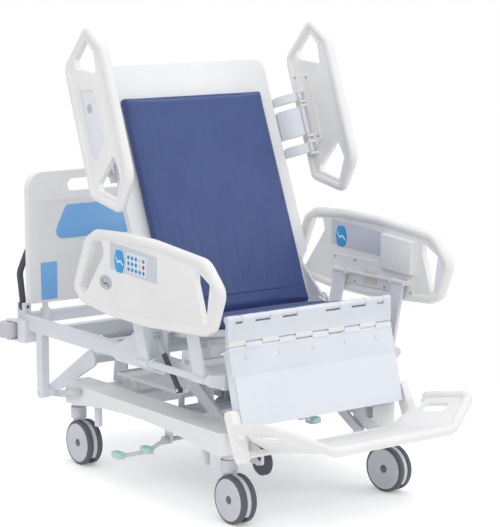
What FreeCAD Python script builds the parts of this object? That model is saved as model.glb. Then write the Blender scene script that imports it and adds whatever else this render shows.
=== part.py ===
import FreeCAD, Part
import math
import os
from FreeCAD import Vector

# Electric hospital bed standing in its chair position. All sizes are in millimetres.
# X runs across the bed (minus is the patient's right), Y runs from foot to head and Z is up.
# Every solid is first built about the middle of the lying surface and moved as a whole when it is written.

# Overall
RUNNING_GAP = 0.05
SEAT_GAP = 0.3
BODY_GAP = 0.5
FORK_PLAY = 1.8
FORK_WALL = 5.0

# Base
BASE_MIDDLE_Y = 40.0
BASE_TOP_Z = 327.0
BASE_RAIL_INSET = 26.0
BASE_RAIL_WIDTH = 46.0
BASE_RAIL_HEIGHT = 44.0
BASE_RAIL_BOTTOM_Z = 266.0
BASE_RAIL_END_MARGIN = 23.0
BASE_CROSS_WIDTH = 60.0
BASE_CROSS_OFFSETS_Y = (-150.0, -60.0, 250.0, 435.0)
COVER_OUTER_STEP = 54.0
COVER_INNER_STEP = 66.0
COVER_WALL = 3.0
COVER_END_BOTTOM_Z = 246.0
COVER_ARCH_RISE = 34.0
COVER_END_MARGIN = 28.0
COVER_CORNER_RADIUS = 26.0
COVER_RIB_WIDTH = 20.0
COVER_ARCH_MARGIN = 60.0
COVER_RIB_OFFSETS_Y = (-340.0, 0.0, 340.0)
TRAY_FOOT_Y = -60.0
TRAY_HEAD_Y = 395.0
TRAY_SIDE_GAP = 10.0
TRAY_BOTTOM_Z = 366.0
TRAY_THICKNESS = 5.0
TRAY_LIP = 14.0
TRAY_BOSS_RADIUS = 75.0
TRAY_BOSS_HEIGHT = 12.0
TRAY_BOSS_Y = 170.0
TRAY_POST_RADIUS = 12.0
TRAY_POST_INSET = 26.0
SOCKET_OFFSET_Y = 361.0
SOCKET_RADIUS = 15.0
SOCKET_BORE_RADIUS = 11.0
SOCKET_BOTTOM_Z = 172.0
SOCKET_DEPTH = 80.0

# Casters
STEM_OFFSET_Y = 505.0
CASTER_TRAIL = 38.0
CASTER_TURN_LEFT_FOOT = 9.0
WHEEL_RADIUS = 87.5
WHEEL_WIDTH = 24.0
WHEEL_INNER_GAP = 18.0
TYRE_DEPTH = 15.0
TYRE_CHAMFER = 5.0
HUB_DISH_DEPTH = 3.0
HUB_CAP_RADIUS = 15.0
AXLE_RADIUS = 7.0
HOOD_THICKNESS = 16.0
HOOD_RADIUS = 84.0
HOOD_CUT_Z = 34.0
SWIVEL_HEAD_RADIUS = 31.0
SWIVEL_HEAD_BOTTOM_Z = 180.0
SWIVEL_HEAD_TOP_Z = 224.0
STEM_RADIUS = 13.0
STEM_TOP_Z = 262.0
STEM_SOCKET_RADIUS = 24.0

# Brake pedals, rocker pedals and fifth wheel
BRAKE_SHAFT_Y = -26.0
BRAKE_SHAFT_Z = 199.0
BRAKE_SHAFT_RADIUS = 9.0
BRAKE_HANGER_STEP = 36.0
BRAKE_HANGER_THICKNESS = 12.0
BRAKE_KNUCKLE_RADIUS = 16.0
BRAKE_KNUCKLE_LENGTH = 18.0
BRAKE_PAD_STEPS = (115.0, 38.0)
BRAKE_PAD_PLACES = ((83.0, 140.0), (5.0, 164.0))
PEDAL_BAR_DROP = 6.0
PEDAL_BAR_BEND = 30.0
PEDAL_CORNER = 12.0
PEDAL_BAR_RADIUS = 8.0
PAD_LENGTH = 54.0
PAD_WIDTH = 34.0
PAD_HEIGHT = 20.0
ROCKER_SIDE_STEP = 20.0
ROCKER_BAR_THICKNESS = 12.0
ROCKER_HUB_RADIUS = 14.0
ROCKER_TIP_RADIUS = 9.0
ROCKER_TIP_DROP = 14.0
ROCKER_PAD_OFFSET = (4.0, 8.0)
ROCKER_Y = 535.0
ROCKER_Z = 286.0
ROCKER_HEAD_REACH = 75.0
ROCKER_FOOT_REACH = 85.0
ROCKER_SHAFT_RADIUS = 8.0
FIFTH_PIVOT_Y = -40.0
FIFTH_PIVOT_Z = 238.0
FIFTH_PIVOT_RADIUS = 8.0
FIFTH_AXLE_RADIUS = 6.0
FIFTH_ARM_REACH = 151.0
FIFTH_ARM_DROP = 138.0
FIFTH_WHEEL_RADIUS = 52.0
FIFTH_WHEEL_WIDTH = 30.0
FIFTH_FORK_X = 19.0
FIFTH_PLATE_THICKNESS = 6.0
FIFTH_LUG_GAP = 9.0
FIFTH_LUG_THICKNESS = 8.0
FIFTH_ARM_RADII = (12.5, 12.0)
FIFTH_TYRE_CHAMFER = 6.0

# Lift levers
LEVER_LENGTH = 383.0
LEVER_REST_ANGLE = -30.4
LEVER_PIVOT_Z = 425.0
HEAD_PIVOT_Y = 470.0
FOOT_PIVOT_Y = -110.0
TORQUE_TUBE_RADIUS = 21.0
LEVER_SIDE_GAP = 2.0
SLOT_SIDE_GAP = 3.0
FOOT_LEVER_X = 262.0
LEVER_THICKNESS = 12.0
LEVER_WIDE_END = 34.0
LEVER_NARROW_END = 20.0
FOOT_LEVER_WIDE_END = 28.0
FOOT_LEVER_NARROW_END = 17.0
TIP_PIN_RADIUS = 10.0
TOWER_X = 205.0
TOWER_THICKNESS = 10.0
TOWER_ROOT_REACH = 52.0
TOWER_SHOULDER = (34.0, 12.0)
TOWER_CROWN = (14.0, 36.0)
TOWER_CORNER = 12.0
CRANK_RADIUS = 95.0
CRANK_REST_ANGLE = -120.0
CRANK_WIDE_END = 30.0
CRANK_NARROW_END = 15.0
CRANK_THICKNESS = 12.0
LIFT_BARREL_RADIUS = 23.0
LIFT_SETBACK = 18.0
LIFT_BORE_START = 90.0
MOTOR_HALF_WIDTH = 34.0
MOTOR_HALF_HEIGHT = 24.0
MOTOR_REACH = 84.0
SADDLE_HALF_WIDTH = 26.0
SADDLE_LENGTH = 66.0
SADDLE_RISE = 12.0
SADDLE_OVERLAP = 4.0
LIFT_ROD_INSIDE = 120.0
LIFT_SLOT_HALF = 8.0
BACK_ROD_INSIDE = 140.0
BACK_SLOT_HALF = 10.0
ROD_RADIUS = 10.0
CRANK_PIN_RADIUS = 7.0
BARREL_SETBACK = 96.0
FORK_HALF_WIDTH = 15.0
THROAT_HALF_WIDTH = 7.5
THROAT_MARGIN = 15.0
BRIDGE_RADIUS = 14.0
BRIDGE_LENGTH = 26.0
SLOT_TRAVEL = 106.0
SLOT_PLATE_THICKNESS = 10.0

# Upper frame
BEAM_SIDE_GAP = 4.0
BEAM_WIDTH = 33.0
BEAM_BOTTOM_Z = 475.0
BEAM_HEIGHT = 55.0
BEAM_FOOT_Y = -472.0
CROSS_WIDTH = 40.0
CROSS_PLACES_Y = (-440.0, 300.0, 650.0)
HEAD_CROSS_Y = 962.0
HEAD_CROSS_WIDTH = 46.0
HEAD_CROSS_HEIGHT = 42.0
HEAD_CROSS_BOTTOM_Z = 488.0
BLOCK_STEP = 24.0
BLOCK_INSET = 43.0
BLOCK_CORNER = 14.0
BLOCK_FOOT_Y = 884.0
BLOCK_HEAD_Y = 940.0
BLOCK_BOTTOM_Z = 425.0
BLOCK_TOP_Z = 514.0
BUMPER_SIDE_STEP = 8.0
BUMPER_Y = 985.0
BUMPER_RADIUS = 38.0
BUMPER_BOTTOM_Z = 437.0
BUMPER_TOP_Z = 501.0
DROP_LEG_WIDTH = 42.0
HEADBOARD_HALF_WIDTH = 342.0
HEADBOARD_Y = 942.0
HEADBOARD_THICKNESS = 32.0
HEADBOARD_BOTTOM_Z = 573.0
HEADBOARD_TOP_Z = 1108.0
HEADBOARD_TOP_RADIUS = 68.0
HEADBOARD_LOW_RADIUS = 20.0
SLOT_HALF_WIDTH = 158.0
SLOT_HEIGHT = 54.0
SLOT_TOP_MARGIN = 34.0
PIN_X = 262.0
PIN_RADIUS = 12.0
SLEEVE_RADIUS = 20.0
SLEEVE_TOP_Z = 546.0
INSET_MARGIN = 52.0
INSET_DEPTH = 2.0
INSET_CORNER = 28.0
INSET_SLOT_GAP = 30.0
BUMPER_PIN_RADIUS = 8.0
CONTROL_HALF_WIDTH = 110.0
CONTROL_HEIGHT = 56.0
CONTROL_LENGTH = 160.0
CONTROL_OFFSET = 30.0
CONTROL_CORNER = 12.0
BACK_BARREL_RADIUS = 20.0
GRIP_INSET = 45.0
GRIP_POST_HALF = 14.0
GRIP_Y = 999.0
GRIP_RADIUS = 13.0
GRIP_PIVOT_Z = 556.0
GRIP_BEND_Z = 695.0
GRIP_TOP_Z = 778.0
GRIP_BULGE = 14.0
GRIP_LEAN = 23.0
GRIP_PIN_RADIUS = 7.0
GRIP_EYE_RADIUS = 15.0
GRIP_EYE_HALF = 12.0
GRIP_LUG_THICKNESS = 10.0
GRIP_LUG_GAP = 1.5

# Hip and lying surface
HIP_Y = -77.0
HIP_Z = 661.0
HIP_PIN_RADIUS = 10.0
BACK_ANGLE = 68.0
SEAT_TILT = 10.0
SHOULDER_THICKNESS = 9.0
# The shoulder plate is measured from the hip pin and the pierced bracket from the seat's front hinge
SHOULDER_SHAPE = ((-48.0, -61.0), (-35.0, -193.0), (292.0, -193.0), (345.0, -161.0), (185.0, -77.0),
                  (47.0, 13.0), (0.0, 33.0), (-35.0, 7.0))
SHOULDER_RADII = (20.0, 10.0, 12.0, 12.0, 30.0, 40.0, 24.0, 20.0)
BRACKET_SHAPE = ((-209.0, -122.0), (-40.0, -122.0), (7.0, -76.0), (0.0, -22.0), (-40.0, -26.0),
                 (-209.0, -98.0))
BRACKET_RADII = (6.0, 6.0, 14.0, 14.0, 14.0, 6.0)
BRACKET_HOLE = (-28.0, -63.0)
BRACKET_HOLE_RADIUS = 14.0
BRACKET_STEP = 3.0
ARM_THICKNESS = 10.0
ARM_SIDE_GAP = 4.0
ARM_BACK_START = 174.0
PANEL_OVERHANG = 12.0
PANEL_WIDE_START = 197.0
PANEL_START = 30.0
PANEL_NARROW_GAP = 18.0
PANEL_END = 994.0
PANEL_FRONT = -41.0
PANEL_THICKNESS = 26.0
PANEL_WALL = 6.0
PANEL_CORNER_RADIUS = 42.0
PAD_THICKNESS = 45.0
SEAT_PAD_THICKNESS = 40.0
BACK_PAD_INSET = 13.0
BACK_PAD_START = 20.0
BACK_PAD_END = 868.0
CRANK_TUBE_RADIUS = 9.0
BACK_CRANK_RADIUS = 100.0
BACK_CRANK_ANGLE = -56.0
HEAD_HINGE_RADIUS = 9.0
BACK_TIE_PLACES = (430.0, 640.0, 785.0)
TIE_RADIUS = 9.0
DECK_TOP_Z = 620.0
DECK_THICKNESS = 22.0
DECK_HALF_WIDTH = 345.0
SEAT_PAD_INSET = 23.0
SEAT_HEAD_Y = -76.0
THIGH_HINGE_Y = -222.0
THIGH_HINGE_Z = 606.0
THIGH_FOOT_Y = -444.0
KNEE_Y = -479.0
KNEE_Z = 656.0
KNEE_RADIUS = 13.0
KNEE_EYE_RADIUS = 12.0
KNEE_PIN_RADIUS = 5.0
KNUCKLE_GAP = 1.0
KNUCKLES = ((98.0, 66.0), (218.7, 66.0), (322.6, 30.0))

SEAT_PLATE_GAP = 5.0
SEAT_PLATE_THICKNESS = 10.0
DECK_WALL = 4.0
HINGE_GAP = 14.0
SEAT_PAD_FOOT_Y = -213.0
THIGH_PAD_HEAD_Y = -225.0
THIGH_PAD_FOOT_Y = -434.0
THIGH_EYE_RADIUS = 11.0
THIGH_PIN_RADIUS = 6.0
SEAT_EYES = ((40.0, 70.0), (302.0, 332.0))
THIGH_EYES = ((74.0, 104.0), (268.0, 298.0))

# Leg section
LEG_HALF_WIDTH = 372.0
LEG_THICKNESS = 16.0
LEG_UPPER_LENGTH = 91.0
LEG_LOWER_ANGLE = 15.0
LEG_LOWER_LENGTH = 292.0
LEG_FLANGE_DEPTH = 34.0
TAB_COUNT = 10
TAB_RADIUS = 9.0
TAB_PIN_RADIUS = 4.0
TAB_BAND = 15.0
TAB_PLATE = 2.5
FOLD_DISTANCE = 112.0
FOLD_STEP = 4.0
RIVET_COUNT = 5
RIVET_PITCH = 149.0
RIVET_RADIUS = 9.0
RIVET_DISTANCE = 46.0

# Footboard
FOOT_PIVOT = (-595.0, 266.0)
FOOT_SLOPE = 11.0
FOOT_FLOOR_HALF_WIDTH = 268.0
FOOT_WING_STEP = 29.0
FOOT_WING_RISE = 100.0
FOOT_RIM_RADIUS = 17.5
FOOT_BAR_REACH = 361.0
FOOT_WING_FRONT = 284.0
FOOT_WING_REAR = 46.0
FOOT_SHEET = 14.0
KNOB_RADIUS = 27.0
FOOT_BAR_RADIUS = 12.0
FOOT_PIN_RADIUS = 8.0
FOOT_NOTCH_DEPTH = 22.0
BRACKET_SIDE_GAP = 3.0
BRACKET_THICKNESS = 33.0

# Side rails
RAIL_PIVOT_DEPTH = 33.0
RIM_RADIUS = 19.0
RAIL_PANEL = 22.0
HEAD_RAIL_OUTLINE = ((180.0, 1738.0), (325.0, 1578.0), (322.0, 1540.0), (155.0, 1098.0), (-36.0, 1064.0),
                     (-104.0, 1192.0), (-99.0, 1235.0), (62.0, 1662.0))
HEAD_RAIL_RADII = (36.0, 50.0, 50.0, 40.0, 34.0, 60.0, 60.0, 70.0)
HEAD_RAIL_UPPER_OPENING = ((184.0, 1681.0), (128.0, 1636.0), (108.0, 1556.0), (254.0, 1568.0),
                           (258.0, 1600.0))
HEAD_RAIL_LOWER_OPENING = ((0.0, 1272.0), (-46.0, 1206.0), (-17.0, 1114.0), (98.0, 1134.0), (104.0, 1160.0))
HEAD_RAIL_INSET = ((222.0, 1492.0), (134.0, 1500.0), (64.0, 1322.0), (121.0, 1240.0), (150.0, 1262.0))
HEAD_RAIL_PLATE = ((288.0, 1504.0), (180.0, 1512.0), (94.0, 1262.0), (160.0, 1176.0), (192.0, 1212.0))
FOOT_RAIL_OUTLINE = ((136.0, 990.0), (200.0, 955.0), (292.0, 757.0), (236.0, 703.0), (40.0, 680.0),
                     (-200.0, 676.0), (-556.0, 699.0), (-616.0, 725.0), (-672.0, 866.0), (-572.0, 968.0),
                     (-250.0, 998.0), (-60.0, 1000.0))
FOOT_RAIL_RADII = (60.0, 60.0, 44.0, 60.0, 400.0, 400.0, 40.0, 40.0, 60.0, 90.0, 500.0, 500.0)
FOOT_RAIL_HEAD_OPENING = ((150.0, 946.0), (84.0, 952.0), (72.0, 906.0), (200.0, 742.0), (244.0, 752.0))
FOOT_RAIL_FOOT_OPENING = ((-508.0, 930.0), (-596.0, 884.0), (-572.0, 748.0), (-556.0, 748.0),
                          (-508.0, 880.0))
OPENING_RADIUS = 11.0
HINGE_PLATE_THICKNESS = 5.0
HINGE_PIN_RADIUS = 6.0
HINGE_LUG_WIDTH = 11.0
HINGE_LUG_HALF_HEIGHT = 9.0
HEAD_ARM_REACH = 76.0
HEAD_ARM_PIVOT_STEP = 16.0
HEAD_ARM_PIVOT_DEPTH = -78.0
HEAD_ARM_RAIL_DEPTH = 20.0
HEAD_ARM_BANDS = ((800.0, 830.0), (660.0, 770.0), (588.0, 622.0))
HEAD_ARM_THICKNESS = 9.0
FOOT_ARM_PIVOT_STEP = 52.0
FOOT_ARM_PIVOT_Z = 512.0
FOOT_ARM_RAIL_Z = 765.0
FOOT_ARM_BANDS = ((-86.0, -22.0), (-432.0, -368.0))
FOOT_ARM_THICKNESS = 12.0
FOOT_RAIL_PLATE_Z = (718.0, 822.0)
FOOT_RAIL_PLATE_MARGIN = 30.0
FOOT_ARM_TUBE_RADIUS = 13.0
RAIL_LUG_RADIUS = 20.0
RAIL_LUG_ROOT = (30.0, 16.0)
RAIL_LUG_CORNER = 12.0
FRAME_LUG_PLACES_Y = ((-462.0, -446.0),)
SHOULDER_LUG_PLACES_Y = ((-108.0, -94.0), (-14.0, 2.0))

# Gas springs
GAS_SIDE_STEP = 26.0
GAS_LOW = (-230.0, 437.0)
GAS_HIGH = (-84.0, 615.0)
GAS_PIN_RADIUS = 6.0
GAS_EYE_RADIUS = 11.0
GAS_EYE_WIDTH = 18.0
GAS_BARREL_RADIUS = 10.0
GAS_BORE_RADIUS = 7.8
GAS_ROD_RADIUS = 5.0
GAS_BARREL_LENGTH = 150.0
GAS_ROD_START = 60.0
GAS_BORE_START = 30.0

# Places that follow from the sizes above, from the deck outwards
SEAT_PLATE_X = DECK_HALF_WIDTH + SEAT_PLATE_GAP + SEAT_PLATE_THICKNESS
ARM_OUTER_X = SEAT_PLATE_X + ARM_SIDE_GAP + ARM_THICKNESS
BEAM_OUTER_X = ARM_OUTER_X + BEAM_SIDE_GAP
HEAD_LEVER_X = BEAM_OUTER_X - BEAM_WIDTH - LEVER_SIDE_GAP - LEVER_THICKNESS / 2
BLOCK_OUTER_X = BEAM_OUTER_X + BLOCK_STEP
BLOCK_INNER_X = BEAM_OUTER_X - BLOCK_INSET
BUMPER_X = BLOCK_OUTER_X + BUMPER_SIDE_STEP
GRIP_X = BEAM_OUTER_X - GRIP_INSET
BASE_RAIL_X = BEAM_OUTER_X - BASE_RAIL_INSET
COVER_OUTER_X = BASE_RAIL_X + COVER_OUTER_STEP
COVER_INNER_X = BASE_RAIL_X - COVER_INNER_STEP
TRAY_HALF_WIDTH = COVER_INNER_X - TRAY_SIDE_GAP
BRAKE_HANGER_X = BASE_RAIL_X - BRAKE_HANGER_STEP
ROCKER_X = COVER_OUTER_X + ROCKER_SIDE_STEP
BACK_PAD_HALF_WIDTH = DECK_HALF_WIDTH - BACK_PAD_INSET
SEAT_PAD_HALF_WIDTH = DECK_HALF_WIDTH - SEAT_PAD_INSET
GAS_X = BEAM_OUTER_X + GAS_SIDE_STEP
PANEL_HALF_WIDTH = BEAM_OUTER_X + PANEL_OVERHANG
PANEL_NARROW_HALF_WIDTH = ARM_OUTER_X - ARM_THICKNESS - PANEL_NARROW_GAP
HEAD_ARM_PIVOT_X = PANEL_HALF_WIDTH + HEAD_ARM_PIVOT_STEP
RAIL_PIVOT_X = HEAD_ARM_PIVOT_X + HEAD_ARM_REACH
RAIL_X = RAIL_PIVOT_X + RAIL_PIVOT_DEPTH
FOOT_ARM_PIVOT_X = BEAM_OUTER_X + FOOT_ARM_PIVOT_STEP
BRACKET_INNER_X = LEG_HALF_WIDTH + BRACKET_SIDE_GAP
BRACKET_OUTER_X = BRACKET_INNER_X + BRACKET_THICKNESS
FOOT_WING_HALF_WIDTH = BRACKET_OUTER_X + FOOT_WING_STEP
SLOT_TOP_Z = HEADBOARD_TOP_Z - SLOT_TOP_MARGIN
SLOT_BOTTOM_Z = SLOT_TOP_Z - SLOT_HEIGHT
HEAD_END_Y = BUMPER_Y + BUMPER_RADIUS
FOOT_END_Y = FOOT_PIVOT[0] - FOOT_BAR_REACH * math.cos(math.radians(FOOT_SLOPE)) - FOOT_RIM_RADIUS
MIDDLE_SHIFT_Y = -(HEAD_END_Y + FOOT_END_Y) / 2

NODES = {}


# Shared helpers

def box(x_range, y_range, z_range):
    size = [high - low for low, high in (x_range, y_range, z_range)]
    return Part.makeBox(size[0], size[1], size[2], Vector(x_range[0], y_range[0], z_range[0]))


def rod_x(y, z, radius, x_low, x_high):
    return Part.makeCylinder(radius, x_high - x_low, Vector(x_low, y, z), Vector(1, 0, 0))


def rod_y(x, z, radius, y_low, y_high):
    return Part.makeCylinder(radius, y_high - y_low, Vector(x, y_low, z), Vector(0, 1, 0))


def rod_z(x, y, radius, z_low, z_high):
    return Part.makeCylinder(radius, z_high - z_low, Vector(x, y, z_low), Vector(0, 0, 1))


def rod_between(start, end, radius):
    return Part.makeCylinder(radius, (end - start).Length, start, end - start)


def fuse(shapes):
    first = shapes[0]
    joined = first.fuse(list(shapes[1:])) if len(shapes) > 1 else first
    return joined.removeSplitter()


def mirrored(shape):
    return shape.mirror(Vector(0, 0, 0), Vector(1, 0, 0))


def both_sides(shape):
    return [shape, mirrored(shape)]


def turned_x(shape, y, z, degrees):
    copy = shape.copy()
    copy.rotate(Vector(0, y, z), Vector(1, 0, 0), degrees)
    return copy


def corner_arc(before, corner, after, radius):
    # The straight runs meet in an arc that touches both, so each corner is a true round
    toward_before = (before - corner).normalize()
    toward_after = (after - corner).normalize()
    half = toward_before.getAngle(toward_after) / 2
    run = radius / math.tan(half)
    start = corner + toward_before * run
    end = corner + toward_after * run
    middle_line = (toward_before + toward_after).normalize()
    centre = corner + middle_line * (radius / math.sin(half))
    return start, centre - middle_line * radius, end


def fitting_radius(before, corner, after, radius):
    # A rounding never takes more than half of the shorter side beside it
    shorter = min((before - corner).Length, (after - corner).Length)
    half = (before - corner).getAngle(after - corner) / 2
    return min(radius, shorter * 0.49 * math.tan(half))


def rounded_edges(points, radii, closed):
    count = len(points)
    edges = []
    position = None
    first = None
    for index, corner in enumerate(points):
        inside = closed or 0 < index < count - 1
        if inside and radii[index] > 0:
            before = points[index - 1]
            after = points[(index + 1) % count]
            radius = fitting_radius(before, corner, after, radii[index])
            start, middle, end = corner_arc(before, corner, after, radius)
        else:
            start, middle, end = corner, None, corner
        if position is not None and (start - position).Length > 1e-6:
            edges.append(Part.LineSegment(position, start).toShape())
        if middle is not None:
            edges.append(Part.Arc(start, middle, end).toShape())
        first = first or start
        position = end
    if closed and (first - position).Length > 1e-6:
        edges.append(Part.LineSegment(position, first).toShape())
    return edges


def spread(radii, count):
    return list(radii) if isinstance(radii, (list, tuple)) else [radii] * count


def profile_face(points, radii):
    return Part.Face(Part.Wire(rounded_edges(points, spread(radii, len(points)), True)))


def plate_x(outline, radii, x_low, x_high):
    face = profile_face([Vector(x_low, y, z) for y, z in outline], radii)
    return face.extrude(Vector(x_high - x_low, 0, 0))


def plate_y(outline, radii, y_low, y_high):
    face = profile_face([Vector(x, y_low, z) for x, z in outline], radii)
    return face.extrude(Vector(0, y_high - y_low, 0))


def plate_z(outline, radii, z_low, z_high):
    face = profile_face([Vector(x, y, z_low) for x, y in outline], radii)
    return face.extrude(Vector(0, 0, z_high - z_low))


def tube_along(points, radii, radius, closed=False):
    edges = rounded_edges(points, spread(radii, len(points)), closed)
    spine = Part.Wire(edges)
    first = edges[0]
    start = first.valueAt(first.FirstParameter)
    heading = first.tangentAt(first.FirstParameter)
    ring = Part.Wire([Part.makeCircle(radius, start, heading)])
    return spine.makePipeShell([ring], True, False)


def revolved(profile, centre, axis):
    face = Part.Face(Part.makePolygon(profile + profile[:1]))
    return face.revolve(centre, axis, 360)


def keep(name, shapes):
    solids = shapes if isinstance(shapes, list) else [shapes]
    NODES[name] = [solid for shape in solids for solid in shape.Solids]


def link_plate(start, end, start_radius, end_radius, x_low, x_high):
    # A tapered link: two round ends joined by the lines that touch both of them
    length = math.hypot(end[0] - start[0], end[1] - start[1])
    heading = math.atan2(end[1] - start[1], end[0] - start[0])
    lean = math.acos((start_radius - end_radius) / length)
    outline = []
    for centre, radius, turn in ((start, start_radius, lean), (end, end_radius, lean),
                                 (end, end_radius, -lean), (start, start_radius, -lean)):
        outline.append((centre[0] + radius * math.cos(heading + turn),
                        centre[1] + radius * math.sin(heading + turn)))
    web = plate_x(outline, 0, x_low, x_high)
    near = rod_x(start[0], start[1], start_radius, x_low, x_high)
    far = rod_x(end[0], end[1], end_radius, x_low, x_high)
    return fuse([web, near, far])


def rectangle(first, second):
    # The corners of a plain rectangle, from its low corner on
    return [(first[0], second[0]), (first[1], second[0]), (first[1], second[1]), (first[0], second[1])]


def polar(centre, radius, degrees):
    angle = math.radians(degrees)
    return (centre[0] + radius * math.cos(angle), centre[1] + radius * math.sin(angle))


# Base

def stem_places():
    return [(side * BASE_RAIL_X, BASE_MIDDLE_Y + end * STEM_OFFSET_Y) for end in (-1, 1) for side in (-1, 1)]


def base_rail_range():
    reach = STEM_OFFSET_Y + BASE_RAIL_END_MARGIN
    return BASE_MIDDLE_Y - reach, BASE_MIDDLE_Y + reach


def tower(pivot_y, outer_x):
    # Two upright plates carry the torque tube of one lever
    foot = BASE_RAIL_BOTTOM_Z + BASE_RAIL_HEIGHT
    shoulder_y, shoulder_z = TOWER_SHOULDER
    crown_y, crown_z = TOWER_CROWN
    outline = [(pivot_y - TOWER_ROOT_REACH, foot), (pivot_y + TOWER_ROOT_REACH, foot),
               (pivot_y + shoulder_y, LEVER_PIVOT_Z + shoulder_z),
               (pivot_y + crown_y, LEVER_PIVOT_Z + crown_z),
               (pivot_y - crown_y, LEVER_PIVOT_Z + crown_z),
               (pivot_y - shoulder_y, LEVER_PIVOT_Z + shoulder_z)]
    plate = plate_x(outline, [0, 0] + [TOWER_CORNER] * 4, outer_x - TOWER_THICKNESS, outer_x)
    bore = rod_x(pivot_y, LEVER_PIVOT_Z, TORQUE_TUBE_RADIUS + RUNNING_GAP, outer_x - 2 * TOWER_THICKNESS,
                 outer_x + TOWER_THICKNESS)
    return plate.cut(bore)


def base_frame():
    foot_y, head_y = base_rail_range()
    top = BASE_RAIL_BOTTOM_Z + BASE_RAIL_HEIGHT
    inner = BASE_RAIL_X - BASE_RAIL_WIDTH / 2
    outer = BASE_RAIL_X + BASE_RAIL_WIDTH / 2
    parts = []
    for side in (-1, 1):
        ends = sorted((side * inner, side * outer))
        parts.append(box(ends, (foot_y, head_y), (BASE_RAIL_BOTTOM_Z, top)))
    for offset in BASE_CROSS_OFFSETS_Y:
        middle = BASE_MIDDLE_Y + offset
        reach = BASE_CROSS_WIDTH / 2
        parts.append(box((-inner, inner), (middle - reach, middle + reach), (BASE_RAIL_BOTTOM_Z, top)))
    for x, y in stem_places():
        parts.append(rod_z(x, y, STEM_SOCKET_RADIUS, SWIVEL_HEAD_TOP_Z + 1, top))
    for pivot_y in (HEAD_PIVOT_Y, FOOT_PIVOT_Y):
        parts.extend(both_sides(tower(pivot_y, TOWER_X)))
    shaft_gap = BRAKE_SHAFT_RADIUS + RUNNING_GAP
    for side in (-1, 1):
        ends = sorted((side * (BRAKE_HANGER_X - BRAKE_HANGER_THICKNESS), side * BRAKE_HANGER_X))
        hanger = [(BRAKE_SHAFT_Y - 20, BASE_RAIL_BOTTOM_Z), (BRAKE_SHAFT_Y + 24, BASE_RAIL_BOTTOM_Z),
                  (BRAKE_SHAFT_Y + 16, BRAKE_SHAFT_Z - 16), (BRAKE_SHAFT_Y - 16, BRAKE_SHAFT_Z - 16)]
        plate = plate_x(hanger, [0, 0, 12, 12], ends[0], ends[1])
        parts.append(plate.cut(rod_x(BRAKE_SHAFT_Y, BRAKE_SHAFT_Z, shaft_gap, ends[0] - 1, ends[1] + 1)))
    parts.extend(fifth_wheel_lugs())
    frame = fuse(parts)
    for x, y in stem_places():
        frame = frame.cut(rod_z(x, y, STEM_RADIUS + RUNNING_GAP, SWIVEL_HEAD_TOP_Z, STEM_TOP_Z + 2))
    rocker_bore = rod_x(ROCKER_Y, ROCKER_Z, ROCKER_SHAFT_RADIUS + RUNNING_GAP, -BASE_RAIL_X - BASE_RAIL_WIDTH,
                        BASE_RAIL_X + BASE_RAIL_WIDTH)
    return frame.cut(rocker_bore)


def fifth_wheel_lugs():
    lugs = []
    for side in (-1, 1):
        inner = FIFTH_FORK_X + FIFTH_LUG_GAP
        ends = sorted((side * inner, side * (inner + FIFTH_LUG_THICKNESS)))
        outline = [(FIFTH_PIVOT_Y - 16, BASE_RAIL_BOTTOM_Z), (FIFTH_PIVOT_Y + 16, BASE_RAIL_BOTTOM_Z),
                   (FIFTH_PIVOT_Y + 14, FIFTH_PIVOT_Z - 14), (FIFTH_PIVOT_Y - 14, FIFTH_PIVOT_Z - 14)]
        plate = plate_x(outline, [0, 0, 10, 10], ends[0], ends[1])
        bore = rod_x(FIFTH_PIVOT_Y, FIFTH_PIVOT_Z, FIFTH_PIVOT_RADIUS + RUNNING_GAP, ends[0] - 1, ends[1] + 1)
        lugs.append(plate.cut(bore))
    return lugs


def side_cover():
    # A long moulded shell: flat top, rounded ends and a lower edge that arches up in the middle
    foot_y = BASE_MIDDLE_Y - STEM_OFFSET_Y - COVER_END_MARGIN
    head_y = BASE_MIDDLE_Y + STEM_OFFSET_Y + COVER_END_MARGIN
    corner = COVER_CORNER_RADIUS
    plan = rectangle((COVER_INNER_X, COVER_OUTER_X), (foot_y, head_y))
    outer = plate_z(plan, [0, corner, corner, 0], COVER_END_BOTTOM_Z, BASE_TOP_Z)
    inset = rectangle((COVER_INNER_X - 1, COVER_OUTER_X - COVER_WALL),
                      (foot_y + COVER_WALL, head_y - COVER_WALL))
    inner_corner = corner - COVER_WALL
    hollow = plate_z(inset, [0, inner_corner, inner_corner, 0], COVER_END_BOTTOM_Z - 1,
                     BASE_TOP_Z - COVER_WALL)
    half_span = STEM_OFFSET_Y - COVER_ARCH_MARGIN
    arch_radius = (half_span ** 2 + COVER_ARCH_RISE ** 2) / (2 * COVER_ARCH_RISE)
    arch_z = COVER_END_BOTTOM_Z + COVER_ARCH_RISE - arch_radius
    arch = rod_x(BASE_MIDDLE_Y, arch_z, arch_radius, COVER_INNER_X - 1, COVER_OUTER_X + 1)
    shell = outer.cut(hollow).cut(arch)
    rail_top = BASE_RAIL_BOTTOM_Z + BASE_RAIL_HEIGHT
    ribs = []
    for offset in COVER_RIB_OFFSETS_Y:
        middle = BASE_MIDDLE_Y + offset
        ribs.append(box((COVER_INNER_X, COVER_OUTER_X - 1),
                        (middle - COVER_RIB_WIDTH / 2, middle + COVER_RIB_WIDTH / 2),
                        (rail_top + SEAT_GAP, BASE_TOP_Z - 1)))
    shell = fuse([shell] + ribs)
    rocker_hole = rod_x(ROCKER_Y, ROCKER_Z, ROCKER_SHAFT_RADIUS + 2, COVER_OUTER_X - 20, COVER_OUTER_X + 2)
    return shell.cut(rocker_hole)


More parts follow.
